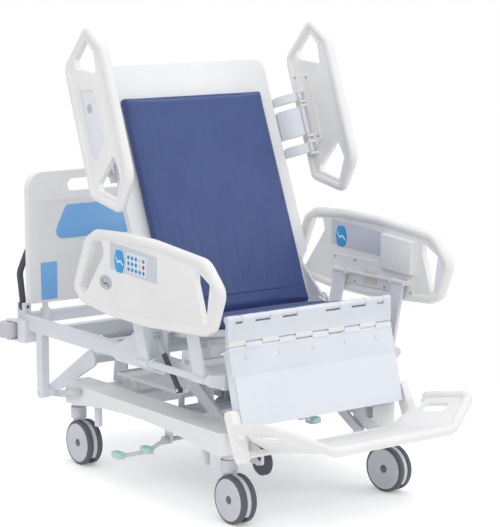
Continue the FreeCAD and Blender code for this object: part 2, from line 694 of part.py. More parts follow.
def base_tray():
    # A shallow tray on four posts, with a raised lip and a round boss
    bottom = TRAY_BOTTOM_Z
    plan = rectangle((-TRAY_HALF_WIDTH, TRAY_HALF_WIDTH), (TRAY_FOOT_Y, TRAY_HEAD_Y))
    inner = [(x - math.copysign(TRAY_THICKNESS, x), y - math.copysign(TRAY_THICKNESS, y - TRAY_BOSS_Y))
             for x, y in plan]
    slab = plate_z(plan, 18, bottom, bottom + TRAY_LIP)
    slab = slab.cut(plate_z(inner, 14, bottom + TRAY_THICKNESS, bottom + TRAY_LIP + 1))
    boss = rod_z(0, TRAY_BOSS_Y, TRAY_BOSS_RADIUS, bottom, bottom + TRAY_BOSS_HEIGHT)
    rail_top = BASE_RAIL_BOTTOM_Z + BASE_RAIL_HEIGHT
    posts = []
    for offset in BASE_CROSS_OFFSETS_Y[1:3]:
        for side in (-1, 1):
            post_x = side * (TRAY_HALF_WIDTH - TRAY_POST_INSET)
            posts.append(rod_z(post_x, BASE_MIDDLE_Y + offset, TRAY_POST_RADIUS, rail_top, bottom + 1))
    return fuse([slab, boss] + posts)


def base_sockets():
    sockets = []
    for side in (-1, 1):
        for end in (-1, 1):
            x = side * BASE_RAIL_X
            y = BASE_MIDDLE_Y + end * SOCKET_OFFSET_Y
            cup = rod_z(x, y, SOCKET_RADIUS, SOCKET_BOTTOM_Z, BASE_RAIL_BOTTOM_Z)
            sockets.append(cup.cut(rod_z(x, y, SOCKET_BORE_RADIUS, SOCKET_BOTTOM_Z - 1,
                                         SOCKET_BOTTOM_Z + SOCKET_DEPTH)))
    return sockets


# Casters

def wheel(centre_x, side):
    # One tyre and one dished hub, turned about the axle line
    half = WHEEL_WIDTH / 2
    rim = WHEEL_RADIUS - TYRE_DEPTH
    seat = rim + RUNNING_GAP
    tyre = [Vector(centre_x - half, 0, seat), Vector(centre_x - half, 0, WHEEL_RADIUS - TYRE_CHAMFER),
            Vector(centre_x - half + TYRE_CHAMFER, 0, WHEEL_RADIUS),
            Vector(centre_x + half - TYRE_CHAMFER, 0, WHEEL_RADIUS),
            Vector(centre_x + half, 0, WHEEL_RADIUS - TYRE_CHAMFER), Vector(centre_x + half, 0, seat)]
    outer = centre_x + side * half
    inner = centre_x - side * half
    dished = outer - side * HUB_DISH_DEPTH
    bore = AXLE_RADIUS + RUNNING_GAP
    hub = [Vector(inner, 0, bore), Vector(inner, 0, rim), Vector(outer, 0, rim), Vector(outer, 0, rim - 6),
           Vector(dished, 0, rim - 10), Vector(dished, 0, HUB_CAP_RADIUS),
           Vector(outer, 0, HUB_CAP_RADIUS - 2), Vector(outer, 0, bore)]
    axis = Vector(1, 0, 0)
    shapes = [revolved(tyre, Vector(0, 0, 0), axis), revolved(hub, Vector(0, 0, 0), axis)]
    for shape in shapes:
        shape.translate(Vector(0, -CASTER_TRAIL, WHEEL_RADIUS))
    return shapes


def caster_hood():
    # The web between the wheels, cut flat near the floor, with the swivel head, stem and axle
    half = HOOD_THICKNESS / 2
    web = rod_x(-CASTER_TRAIL, WHEEL_RADIUS, HOOD_RADIUS, -half, half)
    web = web.cut(box((-half - 1, half + 1), (-CASTER_TRAIL - 200, 200), (0, HOOD_CUT_Z)))
    head = rod_z(0, 0, SWIVEL_HEAD_RADIUS, SWIVEL_HEAD_BOTTOM_Z, SWIVEL_HEAD_TOP_Z)
    neck = box((-half, half), (-CASTER_TRAIL, SWIVEL_HEAD_RADIUS - 2), (120, SWIVEL_HEAD_BOTTOM_Z + 5))
    stem = rod_z(0, 0, STEM_RADIUS, SWIVEL_HEAD_TOP_Z - 5, STEM_TOP_Z)
    reach = WHEEL_INNER_GAP / 2 + WHEEL_WIDTH - 1
    axle = rod_x(-CASTER_TRAIL, WHEEL_RADIUS, AXLE_RADIUS, -reach, reach)
    return fuse([web, neck, head, stem, axle])


def casters():
    names = ("foot_right", "foot_left", "head_right", "head_left")
    middle = (WHEEL_INNER_GAP + WHEEL_WIDTH) / 2
    for name, (x, y) in zip(names, stem_places()):
        turn = CASTER_TURN_LEFT_FOOT if name == "foot_left" else 0.0
        pieces = {"caster_hood_" + name: [caster_hood()]}
        for side, label in ((-1, "wheel_a_"), (1, "wheel_b_")):
            pieces[label + name] = wheel(side * middle, side)
        for node, shapes in pieces.items():
            for shape in shapes:
                shape.rotate(Vector(0, 0, 0), Vector(0, 0, 1), turn)
                shape.translate(Vector(x, y, 0))
            keep(node, shapes)


# Pedals and fifth wheel

def pedal_pad(x, y, z):
    # A D-shaped pad with a domed underside, lying across the bar
    outline = rectangle((x - PAD_WIDTH / 2, x + PAD_WIDTH / 2), (y - PAD_LENGTH / 2, y + PAD_LENGTH / 2))
    return plate_z(outline, PEDAL_CORNER, z - PAD_HEIGHT / 2, z + PAD_HEIGHT / 2)


def brake_pedals():
    shaft = rod_x(BRAKE_SHAFT_Y, BRAKE_SHAFT_Z, BRAKE_SHAFT_RADIUS, -BRAKE_HANGER_X - 20, BRAKE_HANGER_X + 20)
    parts = [shaft]
    outer, inner = [Vector(-BASE_RAIL_X - step, y, z)
                    for step, (y, z) in zip(BRAKE_PAD_STEPS, BRAKE_PAD_PLACES)]
    knuckle_start = -BRAKE_HANGER_X - 4
    knuckle_end = knuckle_start - BRAKE_KNUCKLE_LENGTH
    start = Vector((knuckle_start + knuckle_end) / 2, BRAKE_SHAFT_Y, BRAKE_SHAFT_Z)
    knuckle = rod_x(BRAKE_SHAFT_Y, BRAKE_SHAFT_Z, BRAKE_KNUCKLE_RADIUS, knuckle_end, knuckle_start)
    drop = Vector(0, 0, PEDAL_BAR_DROP)
    bar = tube_along([start, inner - drop, outer - drop], [0, PEDAL_BAR_BEND, 0], PEDAL_BAR_RADIUS)
    pads = [pedal_pad(*outer), pedal_pad(*inner)]
    right = fuse([knuckle, bar] + pads)
    parts.extend(both_sides(right))
    return fuse(parts)


def rocker_pedals():
    low = ROCKER_X - ROCKER_BAR_THICKNESS / 2
    high = ROCKER_X + ROCKER_BAR_THICKNESS / 2
    shaft = rod_x(ROCKER_Y, ROCKER_Z, ROCKER_SHAFT_RADIUS, -high, high)
    tips = [(ROCKER_Y + ROCKER_HEAD_REACH, ROCKER_Z - ROCKER_TIP_DROP),
            (ROCKER_Y - ROCKER_FOOT_REACH, ROCKER_Z + ROCKER_TIP_DROP)]
    bar = fuse([link_plate((ROCKER_Y, ROCKER_Z), tip, ROCKER_HUB_RADIUS, ROCKER_TIP_RADIUS, low, high)
                for tip in tips])
    out, up = ROCKER_PAD_OFFSET
    side = fuse([bar] + [pedal_pad(ROCKER_X + out, y, z + up) for y, z in tips])
    return fuse([shaft] + both_sides(side))


def fifth_axle():
    return FIFTH_PIVOT_Y - FIFTH_ARM_REACH, FIFTH_PIVOT_Z - FIFTH_ARM_DROP


def fifth_wheel_arm():
    axle = fifth_axle()
    plates = []
    for side in (-1, 1):
        ends = sorted((side * FIFTH_FORK_X, side * (FIFTH_FORK_X + FIFTH_PLATE_THICKNESS)))
        plates.append(link_plate((FIFTH_PIVOT_Y, FIFTH_PIVOT_Z), axle, *FIFTH_ARM_RADII, *ends))
    reach = FIFTH_FORK_X + FIFTH_LUG_GAP + FIFTH_LUG_THICKNESS + 1
    pivot = rod_x(FIFTH_PIVOT_Y, FIFTH_PIVOT_Z, FIFTH_PIVOT_RADIUS, -reach, reach)
    pin = rod_x(axle[0], axle[1], FIFTH_AXLE_RADIUS, -FIFTH_FORK_X - 1, FIFTH_FORK_X + 1)
    return fuse(plates + [pivot, pin])


def fifth_wheel():
    half = FIFTH_WHEEL_WIDTH / 2
    radius = FIFTH_WHEEL_RADIUS
    bore = FIFTH_AXLE_RADIUS + RUNNING_GAP
    chamfer = FIFTH_TYRE_CHAMFER
    profile = [Vector(-half, 0, bore), Vector(-half, 0, radius - chamfer), Vector(-half + chamfer, 0, radius),
               Vector(half - chamfer, 0, radius), Vector(half, 0, radius - chamfer), Vector(half, 0, bore)]
    tyre = revolved(profile, Vector(0, 0, 0), Vector(1, 0, 0))
    tyre.translate(Vector(0, *fifth_axle()))
    return tyre


# Lift

def lever_tip(pivot_y, direction):
    angle = math.radians(LEVER_REST_ANGLE)
    return (pivot_y + direction * LEVER_LENGTH * math.cos(angle),
            LEVER_PIVOT_Z + LEVER_LENGTH * math.sin(angle))


def head_lever():
    pivot = (HEAD_PIVOT_Y, LEVER_PIVOT_Z)
    tip = lever_tip(HEAD_PIVOT_Y, 1)
    half = LEVER_THICKNESS / 2
    plate = link_plate(pivot, tip, LEVER_WIDE_END, LEVER_NARROW_END, HEAD_LEVER_X - half, HEAD_LEVER_X + half)
    pin = rod_x(tip[0], tip[1], TIP_PIN_RADIUS, HEAD_LEVER_X, BEAM_OUTER_X - 2)
    tube = rod_x(pivot[0], pivot[1], TORQUE_TUBE_RADIUS, -HEAD_LEVER_X, HEAD_LEVER_X)
    crank_pin = polar(pivot, CRANK_RADIUS, CRANK_REST_ANGLE)
    crank = link_plate(pivot, crank_pin, CRANK_WIDE_END, CRANK_NARROW_END, -CRANK_THICKNESS / 2,
                       CRANK_THICKNESS / 2)
    pin_bar = rod_x(crank_pin[0], crank_pin[1], CRANK_PIN_RADIUS, -FORK_HALF_WIDTH - 1, FORK_HALF_WIDTH + 1)
    return fuse([tube, crank, pin_bar] + both_sides(fuse([plate, pin])))


def foot_lever():
    pivot = (FOOT_PIVOT_Y, LEVER_PIVOT_Z)
    tip = lever_tip(FOOT_PIVOT_Y, -1)
    half = LEVER_THICKNESS / 2
    plate = link_plate(pivot, tip, FOOT_LEVER_WIDE_END, FOOT_LEVER_NARROW_END, FOOT_LEVER_X - half,
                       FOOT_LEVER_X + half)
    roller = rod_x(tip[0], tip[1], TIP_PIN_RADIUS, FOOT_LEVER_X, slot_plate_x()[1] - 1)
    tube = rod_x(pivot[0], pivot[1], TORQUE_TUBE_RADIUS, -FOOT_LEVER_X, FOOT_LEVER_X)
    return fuse([tube] + both_sides(fuse([plate, roller])))


def slot_plate_x():
    inner = FOOT_LEVER_X + LEVER_THICKNESS / 2 + SLOT_SIDE_GAP
    return inner, inner + SLOT_PLATE_THICKNESS


def lift_actuator():
    pin = polar((HEAD_PIVOT_Y, LEVER_PIVOT_Z), CRANK_RADIUS, CRANK_REST_ANGLE)
    axis_z = lift_rod_z()
    barrel_end = pin[0] - BARREL_SETBACK
    start = BASE_MIDDLE_Y + BASE_CROSS_OFFSETS_Y[1] + BASE_CROSS_WIDTH / 2 + LIFT_SETBACK
    barrel = rod_y(0, axis_z, LIFT_BARREL_RADIUS, start, barrel_end)
    motor = box((-MOTOR_HALF_WIDTH, MOTOR_HALF_WIDTH), (start - SADDLE_OVERLAP, start + MOTOR_REACH),
                (axis_z - MOTOR_HALF_HEIGHT, axis_z + MOTOR_HALF_HEIGHT))
    top = BASE_RAIL_BOTTOM_Z + BASE_RAIL_HEIGHT
    saddle = box((-SADDLE_HALF_WIDTH, SADDLE_HALF_WIDTH), (start - SADDLE_LENGTH, start),
                 (top, axis_z + SADDLE_RISE))
    body = fuse([barrel, motor, saddle])
    return body.cut(rod_y(0, axis_z, ROD_RADIUS + BODY_GAP, start + LIFT_BORE_START, barrel_end + 1))


def lift_rod_z():
    # The crank pin swings equally to both sides of its lowest point, so the rod lies half way up that arc
    low = LEVER_PIVOT_Z - CRANK_RADIUS
    high = LEVER_PIVOT_Z + CRANK_RADIUS * math.sin(math.radians(CRANK_REST_ANGLE))
    return (low + high) / 2


def push_rod(pin_y, axis_z, inside, slot_half, pin_radius, direction):
    # A round rod with a forked eye; the eye is a slot, because the crank pin rises a little on its arc
    reach = pin_radius + FORK_PLAY
    half = reach + FORK_WALL
    barrel_end = pin_y - direction * BARREL_SETBACK
    shank_ends = sorted((barrel_end - direction * inside, pin_y - direction * (half + 6)))
    bridge_ends = sorted((pin_y - direction * (half + BRIDGE_LENGTH), pin_y - direction * (half - 2)))
    shank = rod_y(0, axis_z, ROD_RADIUS, *shank_ends)
    bridge = rod_y(0, axis_z, BRIDGE_RADIUS, *bridge_ends)
    block_rise = slot_half + half
    slot_rise = slot_half + reach
    block = rectangle((pin_y - half, pin_y + half), (axis_z - block_rise, axis_z + block_rise))
    slot = rectangle((pin_y - reach, pin_y + reach), (axis_z - slot_rise, axis_z + slot_rise))
    fork = fuse([shank, bridge, plate_x(block, half * 0.6, -FORK_HALF_WIDTH, FORK_HALF_WIDTH)])
    fork = fork.cut(plate_x(slot, reach * 0.98, -FORK_HALF_WIDTH - 5, FORK_HALF_WIDTH + 5))
    throat = half + THROAT_MARGIN
    return fork.cut(box((-THROAT_HALF_WIDTH, THROAT_HALF_WIDTH), (pin_y - throat, pin_y + throat),
                        (axis_z - block_rise - 1, axis_z + block_rise + 1)))


def lift_rod():
    pin = polar((HEAD_PIVOT_Y, LEVER_PIVOT_Z), CRANK_RADIUS, CRANK_REST_ANGLE)
    return push_rod(pin[0], lift_rod_z(), LIFT_ROD_INSIDE, LIFT_SLOT_HALF, CRANK_PIN_RADIUS, 1)


# Upper frame

def slot_boot():
    # The plate under the foot end, with the level slot in which the foot lever's roller runs
    tip = lever_tip(FOOT_PIVOT_Y, -1)
    low, high = slot_plate_x()
    toe = tip[0] - SLOT_TRAVEL - TIP_PIN_RADIUS - 6
    top = BEAM_BOTTOM_Z + 30
    outline = [(tip[0] - 22, top), (tip[0] + 38, top), (tip[0] + 38, tip[1] - 26), (toe, tip[1] - 24),
               (toe, tip[1] + 26), (tip[0] - 22, tip[1] + 60)]
    plate = plate_x(outline, [0, 0, 16, 12, 12, 30], low, high)
    reach = TIP_PIN_RADIUS + SEAT_GAP
    slot = rectangle((tip[0] - SLOT_TRAVEL - reach, tip[0] + reach + 2), (tip[1] - reach, tip[1] + reach))
    return plate.cut(plate_x(slot, reach * 0.98, low - 1, high + 1))


def drop_leg():
    tip = lever_tip(HEAD_PIVOT_Y, 1)
    half = DROP_LEG_WIDTH / 2
    inner = BEAM_OUTER_X - BEAM_WIDTH
    outline = rectangle((tip[0] - half, tip[0] + half), (tip[1] - half, BEAM_BOTTOM_Z + 5))
    leg = plate_x(outline, [half * 0.9, half * 0.9, 0, 0], inner, BEAM_OUTER_X)
    return leg.cut(rod_x(tip[0], tip[1], TIP_PIN_RADIUS + RUNNING_GAP, inner - 1, BEAM_OUTER_X + 1))


def rail_arm_lugs(places, inner_x):
    lugs = []
    for low, high in places:
        x, z, reach = FOOT_ARM_PIVOT_X, FOOT_ARM_PIVOT_Z, RAIL_LUG_RADIUS
        outline = [(inner_x, z - RAIL_LUG_ROOT[0]), (x, z - reach), (x + reach, z), (x, z + reach),
                   (inner_x, z + RAIL_LUG_ROOT[1])]
        plate = plate_y(outline, [0] + [RAIL_LUG_CORNER] * 3 + [0], low, high)
        lugs.append(plate.cut(rod_y(x, z, FOOT_ARM_TUBE_RADIUS + RUNNING_GAP, low - 1, high + 1)))
    return lugs


def upper_frame():
    top = BEAM_BOTTOM_Z + BEAM_HEIGHT
    inner = BEAM_OUTER_X - BEAM_WIDTH
    cross_foot = HEAD_CROSS_Y - HEAD_CROSS_WIDTH / 2
    cross_head = HEAD_CROSS_Y + HEAD_CROSS_WIDTH / 2
    side = [box((inner, BEAM_OUTER_X), (BEAM_FOOT_Y, cross_foot + 2), (BEAM_BOTTOM_Z, top))]
    block = rectangle((BLOCK_INNER_X, BLOCK_OUTER_X), (BLOCK_FOOT_Y, BLOCK_HEAD_Y))
    side.append(plate_z(block, [0, BLOCK_CORNER, BLOCK_CORNER, 0], BLOCK_BOTTOM_Z, BLOCK_TOP_Z))
    side.extend([drop_leg(), slot_boot()])
    for low, high in ((BUMPER_BOTTOM_Z - 10, BUMPER_BOTTOM_Z - 3), (BUMPER_TOP_Z + 3, BUMPER_TOP_Z + 10)):
        ear = [(BLOCK_INNER_X, BLOCK_HEAD_Y - 10), (BLOCK_OUTER_X, BLOCK_HEAD_Y - 10),
               (BUMPER_X + 13, BUMPER_Y), (BUMPER_X - 2, BUMPER_Y + 16), (BUMPER_X - 22, BUMPER_Y + 6)]
        side.append(plate_z(ear, [0, 0, 10, 10, 10], low, high))
    side.append(rod_z(BUMPER_X, BUMPER_Y, BUMPER_PIN_RADIUS, BUMPER_BOTTOM_Z - 5, BUMPER_TOP_Z + 5))
    side.append(rod_z(PIN_X, HEADBOARD_Y, SLEEVE_RADIUS, HEAD_CROSS_BOTTOM_Z, SLEEVE_TOP_Z))
    post_top = GRIP_PIVOT_Z + GRIP_PIN_RADIUS + 7
    post_x = (GRIP_X - GRIP_POST_HALF, GRIP_X + GRIP_POST_HALF)
    lug_y = GRIP_Y + GRIP_EYE_HALF + GRIP_LUG_GAP
    lug_end = lug_y + GRIP_LUG_THICKNESS
    for low, high in ((cross_head - 24, cross_head), (lug_y, lug_end)):
        side.append(box(post_x, (low, high), (HEAD_CROSS_BOTTOM_Z + 8, post_top)))
    side.append(box(post_x, (cross_head - 6, lug_end),
                    (HEAD_CROSS_BOTTOM_Z + 8, GRIP_PIVOT_Z - GRIP_EYE_RADIUS - 3)))
    side.extend(rail_arm_lugs(FRAME_LUG_PLACES_Y, BEAM_OUTER_X - 2))
    lug = [(GAS_LOW[0] - 34, BEAM_BOTTOM_Z + 10), (GAS_LOW[0] - 14, GAS_LOW[1] - 12),
           (GAS_LOW[0] + 14, GAS_LOW[1] - 12), (GAS_LOW[0] + 34, BEAM_BOTTOM_Z + 10)]
    side.append(plate_x(lug, [0, 12, 12, 0], BEAM_OUTER_X - 12, BEAM_OUTER_X - 1))
    gas_pin_end = GAS_X + GAS_EYE_WIDTH / 2 + 2
    side.append(rod_x(GAS_LOW[0], GAS_LOW[1], GAS_PIN_RADIUS, BEAM_OUTER_X - 2, gas_pin_end))
    parts = both_sides(fuse(side))
    for middle in CROSS_PLACES_Y:
        parts.append(box((-inner - 1, inner + 1), (middle - CROSS_WIDTH / 2, middle + CROSS_WIDTH / 2),
                         (BEAM_BOTTOM_Z, top)))
    parts.append(box((-BEAM_OUTER_X + 10, BEAM_OUTER_X - 10), (cross_foot, BLOCK_HEAD_Y + 6),
                     (HEAD_CROSS_BOTTOM_Z, HEAD_CROSS_BOTTOM_Z + HEAD_CROSS_HEIGHT)))
    parts.append(box((-post_x[1], post_x[1]), (cross_foot, cross_head),
                     (HEAD_CROSS_BOTTOM_Z, HEAD_CROSS_BOTTOM_Z + HEAD_CROSS_HEIGHT)))
    frame = fuse(parts)
    for side_sign in (-1, 1):
        frame = frame.cut(rod_z(side_sign * PIN_X, HEADBOARD_Y, PIN_RADIUS + RUNNING_GAP,
                                HEAD_CROSS_BOTTOM_Z + 10, SLEEVE_TOP_Z + 1))
        frame = frame.cut(rod_y(side_sign * GRIP_X, GRIP_PIVOT_Z, GRIP_PIN_RADIUS + RUNNING_GAP,
                                cross_head - 25, lug_end + 1))
    return frame


def shoulder_plates():
    # Side plates that carry the hip pins, with the pierced bracket plates footward of them
    low = BEAM_OUTER_X
    high = low + SHOULDER_THICKNESS
    outline = [(HIP_Y + y, HIP_Z + z) for y, z in SHOULDER_SHAPE]
    plate = plate_x(outline, SHOULDER_RADII, low, high)
    plate = plate.cut(rod_x(HIP_Y, HIP_Z, HIP_PIN_RADIUS + RUNNING_GAP, low - 1, high + 1))
    bracket = [(THIGH_HINGE_Y + y, THIGH_HINGE_Z + z) for y, z in BRACKET_SHAPE]
    pierced = plate_x(bracket, BRACKET_RADII, low, high - BRACKET_STEP)
    pierced = pierced.cut(rod_x(THIGH_HINGE_Y + BRACKET_HOLE[0], THIGH_HINGE_Z + BRACKET_HOLE[1],
                                BRACKET_HOLE_RADIUS, low - 1, high + 1))
    lugs = rail_arm_lugs(SHOULDER_LUG_PLACES_Y, high - 2)
    return both_sides(fuse([plate] + lugs)) + both_sides(pierced)


def headboard():
    half = HEADBOARD_HALF_WIDTH
    outline = rectangle((-half, half), (HEADBOARD_BOTTOM_Z, HEADBOARD_TOP_Z))
    radii = [HEADBOARD_LOW_RADIUS, HEADBOARD_LOW_RADIUS, HEADBOARD_TOP_RADIUS, HEADBOARD_TOP_RADIUS]
    face_y = HEADBOARD_Y - HEADBOARD_THICKNESS / 2
    back_y = HEADBOARD_Y + HEADBOARD_THICKNESS / 2
    panel = plate_y(outline, radii, face_y, back_y)
    slot = rectangle((-SLOT_HALF_WIDTH, SLOT_HALF_WIDTH), (SLOT_BOTTOM_Z, SLOT_TOP_Z))
    panel = panel.cut(plate_y(slot, (SLOT_TOP_Z - SLOT_BOTTOM_Z) * 0.49, face_y - 1, back_y + 1))
    inset = rectangle((-half + INSET_MARGIN, half - INSET_MARGIN),
                      (HEADBOARD_BOTTOM_Z + INSET_MARGIN, SLOT_BOTTOM_Z - INSET_SLOT_GAP))
    panel = panel.cut(plate_y(inset, INSET_CORNER, face_y - 1, face_y + INSET_DEPTH))
    panel = panel.cut(plate_y(inset, INSET_CORNER, back_y - INSET_DEPTH, back_y + 1))
    pin_foot = HEAD_CROSS_BOTTOM_Z + 10 + SEAT_GAP
    pins = [rod_z(side * PIN_X, HEADBOARD_Y, PIN_RADIUS, pin_foot, HEADBOARD_BOTTOM_Z + 4)
            for side in (-1, 1)]
    return fuse([panel] + pins)


def bumper():
    shape = rod_z(BUMPER_X, BUMPER_Y, BUMPER_RADIUS, BUMPER_BOTTOM_Z, BUMPER_TOP_Z)
    rims = [edge for edge in shape.Edges if edge.Length > 1 and edge.isClosed()]
    shape = shape.makeFillet(5, rims)
    return shape.cut(rod_z(BUMPER_X, BUMPER_Y, BUMPER_PIN_RADIUS + RUNNING_GAP, BUMPER_BOTTOM_Z - 1,
                           BUMPER_TOP_Z + 1))


def push_handle():
    cross_head = HEAD_CROSS_Y + HEAD_CROSS_WIDTH / 2
    pin_end = GRIP_Y + GRIP_EYE_HALF + GRIP_LUG_GAP + GRIP_LUG_THICKNESS
    pin = rod_y(GRIP_X, GRIP_PIVOT_Z, GRIP_PIN_RADIUS, cross_head - 23, pin_end)
    eye = rod_y(GRIP_X, GRIP_PIVOT_Z, GRIP_EYE_RADIUS, GRIP_Y - GRIP_EYE_HALF, GRIP_Y + GRIP_EYE_HALF)
    points = [Vector(GRIP_X, GRIP_Y, GRIP_PIVOT_Z + 4), Vector(GRIP_X + GRIP_BULGE, GRIP_Y, GRIP_BEND_Z),
              Vector(GRIP_X - GRIP_LEAN, GRIP_Y, GRIP_TOP_Z)]
    grip = tube_along(points, [0, 60, 0], GRIP_RADIUS)
    crown = Part.makeSphere(GRIP_RADIUS, points[-1])
    return fuse([pin, eye, grip, crown])


def backrest_actuator():
    axis_z = back_rod_z()
    start = back_pin()[0] + BARREL_SETBACK
    end = CROSS_PLACES_Y[1] + CROSS_WIDTH / 2
    top = BEAM_BOTTOM_Z + BEAM_HEIGHT
    barrel = rod_y(0, axis_z, BACK_BARREL_RADIUS, start, end)
    saddle = box((-18, 18), (CROSS_PLACES_Y[1] - CROSS_WIDTH / 2, end), (top, axis_z))
    motor = box((-58, -4), (end - 96, end - 4), (top + SEAT_GAP, axis_z + 16))
    body = fuse([barrel, saddle, motor])
    return body.cut(rod_y(0, axis_z, ROD_RADIUS + BODY_GAP, start - 1, start + 200))


def control_box():
    middle = CROSS_PLACES_Y[2] + CONTROL_OFFSET
    reach = CONTROL_LENGTH / 2
    outline = rectangle((-CONTROL_HALF_WIDTH, CONTROL_HALF_WIDTH), (middle - reach, middle + reach))
    return plate_z(outline, CONTROL_CORNER, BEAM_BOTTOM_Z - CONTROL_HEIGHT, BEAM_BOTTOM_Z - SEAT_GAP)


# Backrest, built flat and then turned up about the hip

def raised(shape):
    return turned_x(shape, HIP_Y, HIP_Z, BACK_ANGLE)


def back_pin():
    return polar((HIP_Y, HIP_Z), BACK_CRANK_RADIUS, BACK_CRANK_ANGLE)


def back_rod_z():
    return (HIP_Z - BACK_CRANK_RADIUS + back_pin()[1]) / 2


def backrest_rod():
    return push_rod(back_pin()[0], back_rod_z(), BACK_ROD_INSIDE, BACK_SLOT_HALF, CRANK_TUBE_RADIUS, -1)


def panel_plan(narrow, half, low, step, high):
    # The panel is narrower beside the hip, where it lies between the arms
    return [(-narrow, low), (narrow, low), (narrow, step), (half, step), (half, high), (-half, high),
            (-half, step), (-narrow, step)]


def backrest_panel():
    # A moulded panel: flat front, rounded corners and a deep rim all round the back
    half = PANEL_HALF_WIDTH
    narrow = PANEL_NARROW_HALF_WIDTH
    low = HIP_Y + PANEL_START
    step = HIP_Y + PANEL_WIDE_START
    high = HIP_Y + PANEL_END
    front = HIP_Z + PANEL_FRONT
    wall = PANEL_WALL
    plan = panel_plan(narrow, half, low, step, high)
    inner = panel_plan(narrow - wall, half - wall, low + wall, step + wall, high - wall)
    panel = plate_z(plan, [16, 16, 30, 42, 42, 42, 42, 30], front - PANEL_THICKNESS, front)
    hollow = plate_z(inner, [10, 10, 36, 36, 36, 36, 36, 36], front - PANEL_THICKNESS - 1, front - wall)
    return raised(panel.cut(hollow))


def backrest_pad():
    half = BACK_PAD_HALF_WIDTH
    start = HIP_Y + BACK_PAD_START
    end = HIP_Y + BACK_PAD_END
    bottom = HIP_Z + PANEL_FRONT + SEAT_GAP
    plan = rectangle((-half, half), (start, end))
    return raised(plate_z(plan, [14, 14, 40, 40], bottom, bottom + PAD_THICKNESS))


def backrest_arms():
    back = HIP_Z + PANEL_FRONT - PANEL_THICKNESS
    low = ARM_OUTER_X - ARM_THICKNESS
    bands = sorted(HEAD_ARM_BANDS)
    pivot_z = HIP_Z + HEAD_ARM_PIVOT_DEPTH
    arm_end = HIP_Y + bands[0][0] - 6
    outline = [(HIP_Y - 24, HIP_Z - 14), (HIP_Y + 30, HIP_Z - 84), (arm_end, pivot_z - 12), (arm_end, back),
               (HIP_Y + ARM_BACK_START, back), (HIP_Y + 60, HIP_Z - 6), (HIP_Y, HIP_Z + 22),
               (HIP_Y - 24, HIP_Z + 14)]
    side = [plate_x(outline, [16, 30, 6, 10, 60, 60, 16, 16], low, ARM_OUTER_X)]
    side.append(rod_y(HEAD_ARM_PIVOT_X, pivot_z, HEAD_HINGE_RADIUS, arm_end - 4, HIP_Y + bands[-1][1] + 14))
    lug_ranges = [(bands[0][0] - 34, bands[0][0] - 2), (bands[0][1] + 2, bands[1][0] - 2),
                  (bands[1][1] + 2, bands[2][0] - 2), (bands[2][1] + 2, bands[2][1] + 14)]
    for first, last in lug_ranges:
        side.append(box((PANEL_HALF_WIDTH - 18, HEAD_ARM_PIVOT_X), (HIP_Y + first, HIP_Y + last),
                        (pivot_z - HEAD_HINGE_RADIUS + 1, back)))
    side.append(box((low + 2, PANEL_HALF_WIDTH - 1), (HIP_Y + 262, HIP_Y + 310), (pivot_z - 4, back)))
    turned = [raised(shape) for shape in side]
    outer = BEAM_OUTER_X + SHOULDER_THICKNESS
    turned.append(rod_x(HIP_Y, HIP_Z, HIP_PIN_RADIUS, SEAT_PLATE_X - SEAT_PLATE_THICKNESS + 1, outer + 3))
    turned.append(link_plate((HIP_Y, HIP_Z), GAS_HIGH, 18, 12, outer + 1.5, outer + 6))
    turned.append(rod_x(GAS_HIGH[0], GAS_HIGH[1], GAS_PIN_RADIUS, outer + 2, GAS_X + GAS_EYE_WIDTH / 2 + 2))
    turned.append(link_plate((HIP_Y, HIP_Z), back_pin(), 26, 16, low, ARM_OUTER_X))
    parts = both_sides(fuse(turned))
    parts.append(rod_x(back_pin()[0], back_pin()[1], CRANK_TUBE_RADIUS, -low - 4, low + 4))
    for distance in BACK_TIE_PLACES:
        reach = low + 2 if distance < bands[0][0] - 34 else PANEL_HALF_WIDTH - 10
        parts.append(raised(rod_x(HIP_Y + distance, pivot_z, TIE_RADIUS, -reach, reach)))
    return fuse(parts)


def head_rail_arms():
    pivot = (HEAD_ARM_PIVOT_X, HIP_Z + HEAD_ARM_PIVOT_DEPTH)
    end = (RAIL_PIVOT_X, HIP_Z + HEAD_ARM_RAIL_DEPTH)
    arms = []
    for low, high in HEAD_ARM_BANDS:
        arms.append(link_bar(pivot, end, 14, 11, HEAD_ARM_THICKNESS, HIP_Y + low, HIP_Y + high))
    arms.append(rod_y(end[0], end[1], HINGE_PIN_RADIUS, HIP_Y + HEAD_ARM_BANDS[2][0] - HINGE_LUG_WIDTH,
                      HIP_Y + HEAD_ARM_BANDS[0][1] + HINGE_LUG_WIDTH))
    shapes = fuse(arms)
    bore = rod_y(pivot[0], pivot[1], HEAD_HINGE_RADIUS + RUNNING_GAP, HIP_Y + 500, HIP_Y + 900)
    return raised(shapes.cut(bore))


def link_bar(start, end, start_radius, end_radius, thickness, y_low, y_high):
    # An arm seen end-on: two round eyes and a straight web between them
    length = math.hypot(end[0] - start[0], end[1] - start[1])
    across = (-(end[1] - start[1]) / length * thickness / 2, (end[0] - start[0]) / length * thickness / 2)
    outline = [(start[0] + across[0], start[1] + across[1]), (end[0] + across[0], end[1] + across[1]),
               (end[0] - across[0], end[1] - across[1]), (start[0] - across[0], start[1] - across[1])]
    web = plate_y(outline, 0, y_low, y_high)
    return fuse([web, rod_y(start[0], start[1], start_radius, y_low, y_high),
                 rod_y(end[0], end[1], end_radius, y_low, y_high)])


# Seat and thigh, built level and then tilted about the hip

def tilted(shape):
    return turned_x(shape, HIP_Y, HIP_Z, -SEAT_TILT)


